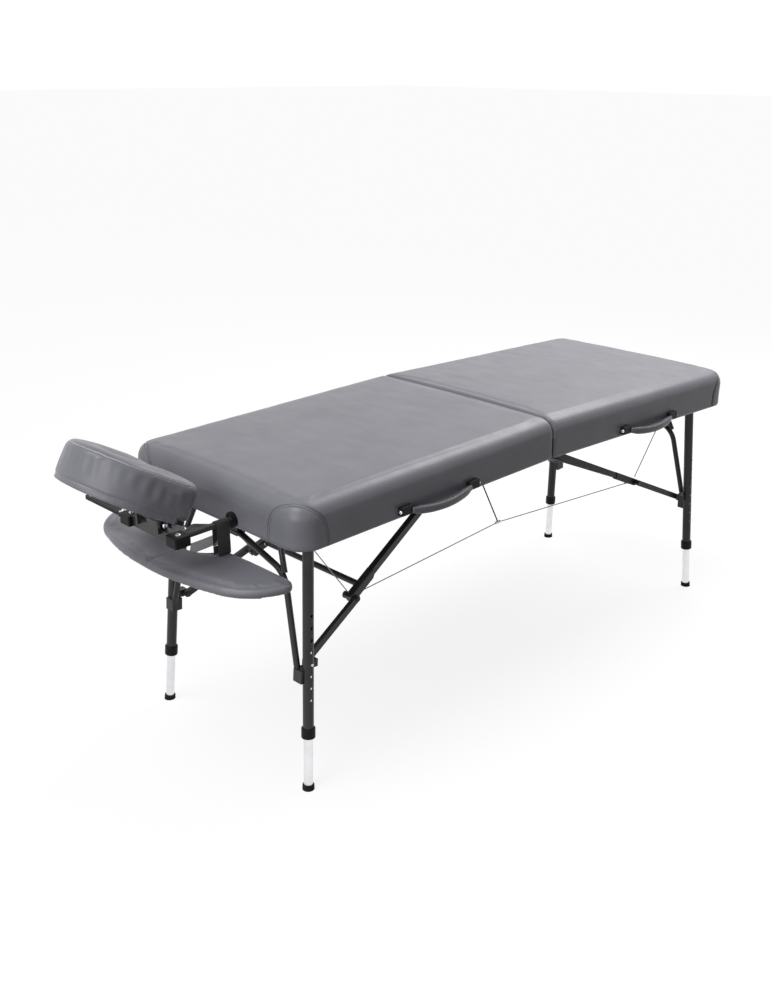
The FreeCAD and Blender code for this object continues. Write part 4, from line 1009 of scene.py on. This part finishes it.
def knee_saddle(end, side):
    """Folded plate over the channel's knee end, with a barrel and two rivets on its inner side."""
    place = channel_place(end, side)
    tag = f"{end}_{'a' if side > 0 else 'b'}"
    inside, outer = SADDLE_HALF, SADDLE_HALF + SADDLE_SIDE
    top, crown, shoulder = SADDLE_TOP, SADDLE_TOP + SADDLE_SKIN, SADDLE_TOP - 0.002
    start, finish = BRACE_RUN - SADDLE_BACK, BRACE_RUN + SADDLE_FRONT
    stations = ((start, 0.35), (start + 0.006, 0.75), (start + 0.014, 1),
                (finish - 0.012, 1), (finish - 0.004, 0.8), (finish, 0.45))
    rings = []
    for x, drop in stations:
        bottom = top + (SADDLE_LOW - top) * drop
        ring = [(-outer, bottom), (-outer, shoulder), (-outer + SADDLE_BEND, crown),
                (outer - SADDLE_BEND, crown), (outer, shoulder), (outer, bottom),
                (inside, bottom), (inside, top), (-inside, top), (-inside, bottom)]
        rings.append([Vector((x, y, z)) for y, z in ring])
    bm = bmesh.new()
    add_rings(bm, rings)
    made = sharpened(new_object(f"{tag}_knee_saddle", bm, place))
    dressed(made, f"{end}_brace", black_coat)
    inner = -side
    barrel = [(0.0065, 0), (0.0096, 0), (0.0098, 0.001), (0.0098, 0.012), (0.0094, 0.013), (0.0066, 0.013)]
    bm = bmesh.new()
    way = place.to_3x3() @ Vector((0, inner, 0))
    add_lathe(bm, barrel, facing(place @ Vector((BRACE_RUN, inner * inside, 0)), way), 28)
    dressed(sharpened(new_object(f"{tag}_knee_barrel", bm)), f"{end}_brace", black_coat)
    for distance in KNEE_RIVET_BACK:
        spot = BRACE_RUN - distance
        point = place @ Vector((spot, inner * outer, 0))
        screw(f"{tag}_knee_rivet_{int(spot * 1000)}", point, way, KNEE_RIVET, f"{end}_brace")


for each_end in ENDS:
    for each_side in SIDES:
        knee_saddle(each_end, each_side)


# Hinge screws
def flush_screw(name, spot, direction, radius, body):
    """Countersunk screw head, level with its plate."""
    profile = [(radius * 0.9, -0.0006), (radius, 0.0001), (radius * 0.7, 0.00022), (radius * 0.44, 0.00022),
               (radius * 0.4, -0.0008), (radius * 0.05, -0.0009)]
    bm = bmesh.new()
    add_lathe(bm, profile, facing(spot, direction), 20)
    return dressed(sharpened(new_object(name, bm)), body, zinc)


def hinge_screws(end):
    """Three screws in each of a half's three hinge leaves."""
    for row, middle in enumerate((-0.215, 0, 0.215)):
        for k, offset in enumerate((-0.032, 0, 0.032)):
            spot = HALF[end] @ Vector((0.022, middle + offset, RAIL_LOW - 0.002))
            flush_screw(f"{end}_hinge_screw_{row}_{k}", spot, HALF[end].to_3x3() @ Vector((0, 0, -1)),
                        0.0035, f"{end}_half")


for each_end in ENDS:
    hinge_screws(each_end)


# Cradle straps and fittings
HEAD = HALF["head"]
STRAP_WIDTH, STRAP_THICK, STRAP_REACH = 0.038, 0.0025, 0.018
PRONG_RADIUS = 0.008
SLING_TURN = math.radians(35)
CRADLE_BAR, LEVER_REACH = 1.084, 0.152


def shelf_loop(side):
    """Webbing loop round a prong and down to the shelf, sewn across under the prong."""
    tag = "far" if side < 0 else "near"
    reach = PRONG_RADIUS + 0.0016
    middle = Vector((HALF_LENGTH + STRAP_REACH + STRAP_WIDTH / 2, side * PRONG_SPACING, PRONG_LEVEL))
    low = SHELF_TOP + 0.0022
    drop = low - PRONG_LEVEL
    line = [Vector((0, -reach, drop)), Vector((0, -reach * 1.02, -0.045)), Vector((0, -reach, -0.012))]
    for k in range(15):
        angle = math.pi * k / 14
        line.append(Vector((0, -reach * math.cos(angle), reach * math.sin(angle))))
    line += [Vector((0, reach, -0.012)), Vector((0, reach * 1.02, -0.045)), Vector((0, reach, drop))]
    bm = bmesh.new()
    add_ribbon(bm, [middle + p for p in line], Vector((1, 0, 0)), STRAP_WIDTH, STRAP_THICK * 0.8)
    strap = new_object(f"{tag}_shelf_loop", bm, HEAD)
    dressed(strap, "cradle", webbing)
    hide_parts("shelf_straps")
    bm = bmesh.new()
    for face_side in SIDES:
        for height in (-0.016, -0.022, -0.064, -0.07):
            skin = face_side * (reach + STRAP_THICK * 0.4)
            row = [middle + Vector((-0.016 + 0.032 * k / 20, skin, height)) for k in range(21)]
            add_stitches(bm, row, [Vector((0, face_side, 0))] * 21, 0.0035, 0.0027, 0.0004)
    dressed(new_object(f"{tag}_loop_stitches", bm, HEAD), "cradle", thread)
    sling(side, tag, middle)


def sling(side, tag, middle):
    """Grey band from a loop down to the shelf beside its notch, with a slide buckle."""
    high = Vector((middle.x, middle.y - side * (PRONG_RADIUS + 0.0028), PRONG_LEVEL - 0.0405))
    low = Vector((HALF_LENGTH + 0.076, side * 0.02, SHELF_TOP + 0.0022))
    run = high - low
    flat = Vector((0, 0, 1)).cross(Vector((run.x, run.y, 0)).normalized())
    across = flat * math.cos(SLING_TURN) - Vector((0, 0, math.copysign(math.sin(SLING_TURN), flat.x)))
    line = spline_points([low, low.lerp(high, 0.5) - Vector((0, 0, 0.002)), high], 24)
    bm = bmesh.new()
    add_ribbon(bm, line, across, STRAP_WIDTH * 0.9, STRAP_THICK * 0.8)
    band = new_object(f"{tag}_sling", bm, HEAD)
    dressed(band, "cradle", grey_webbing)
    spot = line[-3]
    ahead = (high - low).normalized()
    up = across.cross(ahead).normalized()
    bm = bmesh.new()
    half = STRAP_WIDTH / 2 + 0.001
    corners = [(-half, -0.008), (-half, 0.008), (half, 0.008), (half, -0.008)]
    ring_line = []
    for (u0, v0), (u1, v1) in zip(corners, corners[1:] + corners[:1]):
        for k in range(6):
            t = 0.12 + 0.76 * k / 5
            u, v = u0 + (u1 - u0) * t, v0 + (v1 - v0) * t
            ring_line.append(spot + across * u + ahead * v + up * 0.0022)
    rings = []
    for point, (_, wide, tall) in zip(ring_line, path_frames(ring_line, True)):
        rings.append([point + wide * 0.0014 * math.cos(a) + tall * 0.0014 * math.sin(a)
                      for a in (2 * math.pi * k / 8 for k in range(8))])
    add_rings(bm, rings, loop=True)
    dressed(new_object(f"{tag}_sling_buckle", bm, HEAD), "cradle", zinc)


def cradle_fittings():
    """Bolts through the cradle's blocks and ears, and the lever's rivets."""
    level = PRONG_LEVEL - 0.005
    up = HEAD.to_3x3() @ Vector((0, 0, 1))
    for side in SIDES:
        tag = "far" if side < 0 else "near"
        block = Vector((CRADLE_BAR, side * PRONG_SPACING, level + 0.013))
        screw(f"{tag}_block_bolt", HEAD @ block, up, 0.0068, "cradle")
        pin = Vector((TILT_AXIS.x, side * 0.0603, TILT_AXIS.z))
        screw(f"{tag}_tilt_nut", HEAD @ pin, HEAD.to_3x3() @ Vector((0, side, 0)), 0.0072, "cradle")
    hub = -(PRONG_SPACING + 0.021 + 0.0143)
    pivot = Vector((CRADLE_BAR, hub, level + 0.009))
    tip = Vector((CRADLE_BAR, hub - LEVER_REACH, level + 0.0045))
    screw("lever_pivot_bolt", HEAD @ pivot, up, 0.0058, "cradle")
    screw("lever_end_rivet", HEAD @ tip, up, 0.0052, "lever")


for each_side in SIDES:
    shelf_loop(each_side)
cradle_fittings()


# Finishes of the solids that stay
def finish_of(node):
    """Finish of a solid, by words in its name."""
    rules = (
        ("inner_leg", silver_tube), ("button", zinc), ("hinge_", zinc), ("lever_post", zinc),
        ("handle_mounts", plastic), ("leg_bearings", plastic), ("leg_collars", plastic),
        ("cradle_sockets", plastic), ("cradle_blocks", plastic), ("cradle_platform", plastic),
        ("cradle_lever", plastic), ("_deck", deck_wood),
    )
    if node in ("head_frame", "foot_frame"):
        return rail_wood
    if node.endswith("_foot"):
        return rubber
    for word, finish in rules:
        if word in node:
            return finish
    return black_coat


for node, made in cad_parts.items():
    if not made.hide_render:
        made.data.materials.clear()
        made.data.materials.append(finish_of(node))


# Floor, light and background
def seen_directly(tree):
    """1 for rays that show the background itself, also in gloss and glass."""
    path = tree.nodes.new("ShaderNodeLightPath")
    total = path.outputs["Is Camera Ray"]
    for word in ("Is Glossy Ray", "Is Transmission Ray"):
        add = tree.nodes.new("ShaderNodeMath")
        add.operation = "MAXIMUM"
        tree.links.new(total, add.inputs[0])
        tree.links.new(path.outputs[word], add.inputs[1])
        total = add.outputs[0]
    return total


FLOOR_GLOW, FLOOR_SHADE, FLOOR_BOUNCE = 0.87, 0.16, 0.03


def floor_material():
    """Near white where it is seen, dull where it throws light back at the object."""
    made = bpy.data.materials.new("pale_floor")
    made.use_nodes = True
    tree = made.node_tree
    tree.nodes.clear()
    output = tree.nodes.new("ShaderNodeOutputMaterial")
    pale = tree.nodes.new("ShaderNodeBsdfDiffuse")
    pale.inputs["Color"].default_value = (FLOOR_SHADE, FLOOR_SHADE, FLOOR_SHADE, 1)
    dull = tree.nodes.new("ShaderNodeBsdfDiffuse")
    dull.inputs["Color"].default_value = (FLOOR_BOUNCE, FLOOR_BOUNCE, FLOOR_BOUNCE, 1)
    glow = tree.nodes.new("ShaderNodeEmission")
    glow.inputs["Strength"].default_value = FLOOR_GLOW
    both = tree.nodes.new("ShaderNodeAddShader")
    tree.links.new(pale.outputs[0], both.inputs[0])
    tree.links.new(glow.outputs[0], both.inputs[1])
    mix = tree.nodes.new("ShaderNodeMixShader")
    tree.links.new(seen_directly(tree), mix.inputs[0])
    tree.links.new(dull.outputs[0], mix.inputs[1])
    tree.links.new(both.outputs[0], mix.inputs[2])
    tree.links.new(mix.outputs[0], output.inputs["Surface"])
    return made


bm = bmesh.new()
bmesh.ops.create_grid(bm, x_segments=2, y_segments=2, size=60)
floor = new_object("floor", bm)
floor.data.materials.append(floor_material())

WORLD_FILL = 0.08
world = bpy.data.worlds.new("studio")
scene.world = world
world.use_nodes = True
tree = world.node_tree
background = tree.nodes["Background"]
background.inputs["Color"].default_value = (1, 1, 1, 1)
strength = tree.nodes.new("ShaderNodeMapRange")
strength.inputs["To Min"].default_value = WORLD_FILL
strength.inputs["To Max"].default_value = 1.0
tree.links.new(seen_directly(tree), strength.inputs["Value"])
tree.links.new(strength.outputs["Result"], background.inputs["Strength"])


def area_light(name, spot, target, size, power):
    data = bpy.data.lights.new(name, "AREA")
    data.size = size
    data.energy = power
    made = bpy.data.objects.new(name, data)
    scene.collection.objects.link(made)
    made.matrix_world = facing(spot, spot - target)


sky = bpy.data.lights.new("overhead", "SUN")
sky.energy = 1.7
sky.angle = math.radians(35)
overhead = bpy.data.objects.new("overhead", sky)
scene.collection.objects.link(overhead)
overhead.matrix_world = facing(floor_point(0, 0, 4), Vector((-0.5, 0.12, 1)))
area_light("window", floor_point(2.4, 0.2, 3.4), floor_point(0, 0, 0.7), 2.4, 90)
area_light("side", floor_point(-2.8, -0.7, 1.3), floor_point(-0.95, -0.1, 0.7), 1.4, 20)

scene.view_settings.view_transform = "Standard"
